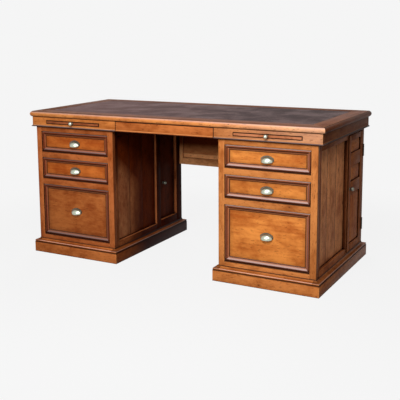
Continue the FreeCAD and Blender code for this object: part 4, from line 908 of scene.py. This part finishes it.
class DESK_OT_timber(bpy.types.Operator):
    """Makes the pine finishes that the other steps use"""

    bl_idname = "desk.timber"
    bl_label = "Pine finishes"

    def execute(self, context):
        timber = context.scene.desk_timber
        amber, honey = (timber.amber, timber.amber_dark), (timber.honey, timber.honey_dark)
        # The head line along each board's top is painted shadow under what lies over it.
        frames = {"lines": (("head", -1.0, 3.5, 0.8),), "reach": 12.0, "flecks": 0.6}
        pine("stained_pine_frame", *amber, **frames, ends=0.6, sheen=0.03)
        pine("stained_pine_frieze", *amber, **frames, faded=0.20, ends=0.75, sheen=0.012)
        pine("stained_pine_front", *amber, lines=(("outline", -1.0, 3.6, 1.0),), flecks=0.6, sheen=0.03)

        # Painted shade: the bead's lower half and the base moulding's edges are drawn darker than 2 mm of
        # glaze, to show. The moulding's lip takes a painted highlight.
        bead = {"lines": (("foot", -1.0, 6.5, 0.97),), "moulded": timber.amber, "bloom": 0.15}
        pine("stained_pine_bead", *amber, **bead, ends=0.75, sheen=0.012)
        base = {"lines": (("foot", -1.0, 2.0, 0.9), ("head", -1.0, 4.5, 0.8)), "moulded": timber.amber}
        base |= {"bloom": 0.7, "lip": 8.0, "smoked": kneehole_smoke, "ends": 0.6}
        pine("stained_pine_plinth", *amber, **base, standing=True, reach=12.0, flecks=0.6)

        # Outline, quirk behind the bead and inner edge of the drawer mouldings, and the shadow at their sole.
        outlines = [("outline", *line, 0.85) for line in ((-1.0, 4.6), (8.4, 11.8), (20.0, 24.5))]
        drawers = {"lines": (*outlines, ("sole", -1.0, 13.0, 0.75)), "moulded": timber.moulding}
        drawers |= {"burnt": 0.25, "fallen": 0.65, "flecks": 0.45}
        pine("stained_pine_panel", *honey, **drawers, bloom=0.5)
        # For the left pedestal: less painted highlight.
        pine("stained_pine_panel_less_highlight", *honey, **drawers, bloom=0.2)

        sides = {"smoked": kneehole_smoke, "reach": 12.0, "sheen": 0.01}
        pine("stained_pine_plank", timber.plank, timber.plank_dark, **sides, joint=2.4)
        pine("stained_pine_side", timber.russet, timber.russet_dark, **sides, returns=0.7)
        pine("stained_pine_shaded_umber", timber.umber, timber.umber_dark, reach=12.0, sheen=0.01)
        # Painted light: the apron is stained pale, with painted shade towards its top.
        apron = {"moulded": timber.rail, "smoked": apron_smoke, "grime": 0.15, "pool": 0.7, "sheen": 0.02}
        pine("stained_pine_apron", timber.apron, timber.apron_dark, **apron)
        pine("bare_pine", timber.bare, timber.bare_dark, pool=0.3, grime=0.2, rough=0.6)
        return {"FINISHED"}


class DESK_OT_stage(bpy.types.Operator):
    """Lays the floor and backdrop, hangs the lamps and sets the camera"""

    bl_idname = "desk.stage"
    bl_label = "Studio"

    def execute(self, context):
        scene = context.scene
        studio = scene.desk_studio
        scene.view_settings.view_transform = "Standard"

        sheet = bpy.data.meshes.new("floor")
        reach = 14.0
        corners = [(reach * x, reach * y, 0) for x, y in ((-1, -1), (1, -1), (1, 1), (-1, 1))]
        sheet.from_pydata(corners, [], [(0, 1, 2, 3)])
        floor = bpy.data.objects.new("floor", sheet)
        sheet.materials.append(studio_paper())
        scene.collection.objects.link(floor)

        world = bpy.data.worlds.new("studio_room")
        world.use_nodes = True
        tree = world.node_tree
        tree.nodes.clear()
        room = add(tree, "ShaderNodeBackground", {"Color": (1, 1, 1, 1), "Strength": studio.ambient})
        paper = add(tree, "ShaderNodeBackground", {"Color": rgba(studio.backdrop), "Strength": 1.0})
        walls = add(tree, "ShaderNodeMixShader", {0: seen_directly(tree), 1: room, 2: paper})
        add(tree, "ShaderNodeOutputWorld", {0: walls})
        scene.world = world

        # Where each lamp stands and the point that it is aimed at, in metres.
        for name, place, target, power in (
            ("key", (1.0, -2.5, 2.4), (0.1, 0.0, 0.4), studio.key),
            ("front", (0.2, -3.3, 1.2), (0.1, 0.0, 0.4), studio.front),
            ("back", (-1.8, 2.8, 1.6), (0.0, 0.0, 0.4), studio.back),
        ):
            lamp = bpy.data.lights.new(name, "AREA")
            lamp.shape = "RECTANGLE"
            lamp.size, lamp.size_y = 1.6, 1.2
            lamp.energy = power
            holder = bpy.data.objects.new(name, lamp)
            holder.location = place
            aim = Vector(target) - Vector(place)
            holder.rotation_euler = aim.to_track_quat("-Z", "Y").to_euler()
            holder.visible_glossy = name != "back"
            scene.collection.objects.link(holder)

        lens = bpy.data.cameras.new("camera")
        lens.sensor_width = 36.0
        lens.lens = studio.lens
        lens.shift_x, lens.shift_y = studio.shift
        camera = bpy.data.objects.new("camera", lens)
        turn, tilt, roll = studio.turn, studio.tilt, studio.roll
        back = Vector((math.sin(turn) * math.cos(tilt), -math.cos(turn) * math.cos(tilt), math.sin(tilt)))
        across = Vector((math.cos(turn), math.sin(turn), 0.0))
        up = back.cross(across)
        leaned = across * math.cos(roll) + up * math.sin(roll)
        upright = up * math.cos(roll) - across * math.sin(roll)
        axes = Matrix((leaned, upright, back)).transposed()
        camera.matrix_world = Matrix.Translation(studio.eye) @ axes.to_4x4()
        scene.collection.objects.link(camera)
        scene.camera = camera
        return {"FINISHED"}


class DESK_PT_panel(bpy.types.Panel):
    """Steps that finish the desk and set its studio"""

    bl_idname = "DESK_PT_panel"
    bl_label = "Partners desk"
    bl_space_type = "VIEW_3D"
    bl_region_type = "UI"
    bl_category = "Desk"

    def draw(self, context):
        for step in STEPS:
            self.layout.operator(step.bl_idname)
        for group in GROUPS:
            settings = getattr(context.scene, GROUPS[group])
            for prop in group.__annotations__:
                self.layout.prop(settings, prop)


STEPS = (
    DESK_OT_timber,
    DESK_OT_top,
    DESK_OT_frieze,
    DESK_OT_pedestals,
    DESK_OT_drawers,
    DESK_OT_doors,
    DESK_OT_metalwork,
    DESK_OT_stage,
)
GROUPS = {
    TimberSettings: "desk_timber",
    LeatherSettings: "desk_leather",
    MetalSettings: "desk_metal",
    StudioSettings: "desk_studio",
}


def register():
    for kind in (*GROUPS, *STEPS, DESK_PT_panel):
        bpy.utils.register_class(kind)
    for kind, name in GROUPS.items():
        setattr(bpy.types.Scene, name, bpy.props.PointerProperty(type=kind))


def unregister():
    for name in GROUPS.values():
        delattr(bpy.types.Scene, name)
    for kind in reversed((*GROUPS, *STEPS, DESK_PT_panel)):
        bpy.utils.unregister_class(kind)


def main():
    register()
    bpy.ops.desk.timber()
    bpy.ops.desk.top()
    bpy.ops.desk.frieze()
    bpy.ops.desk.pedestals()
    bpy.ops.desk.drawers()
    bpy.ops.desk.doors()
    bpy.ops.desk.metalwork()
    bpy.ops.desk.stage()


if __name__ == "__main__":
    main()
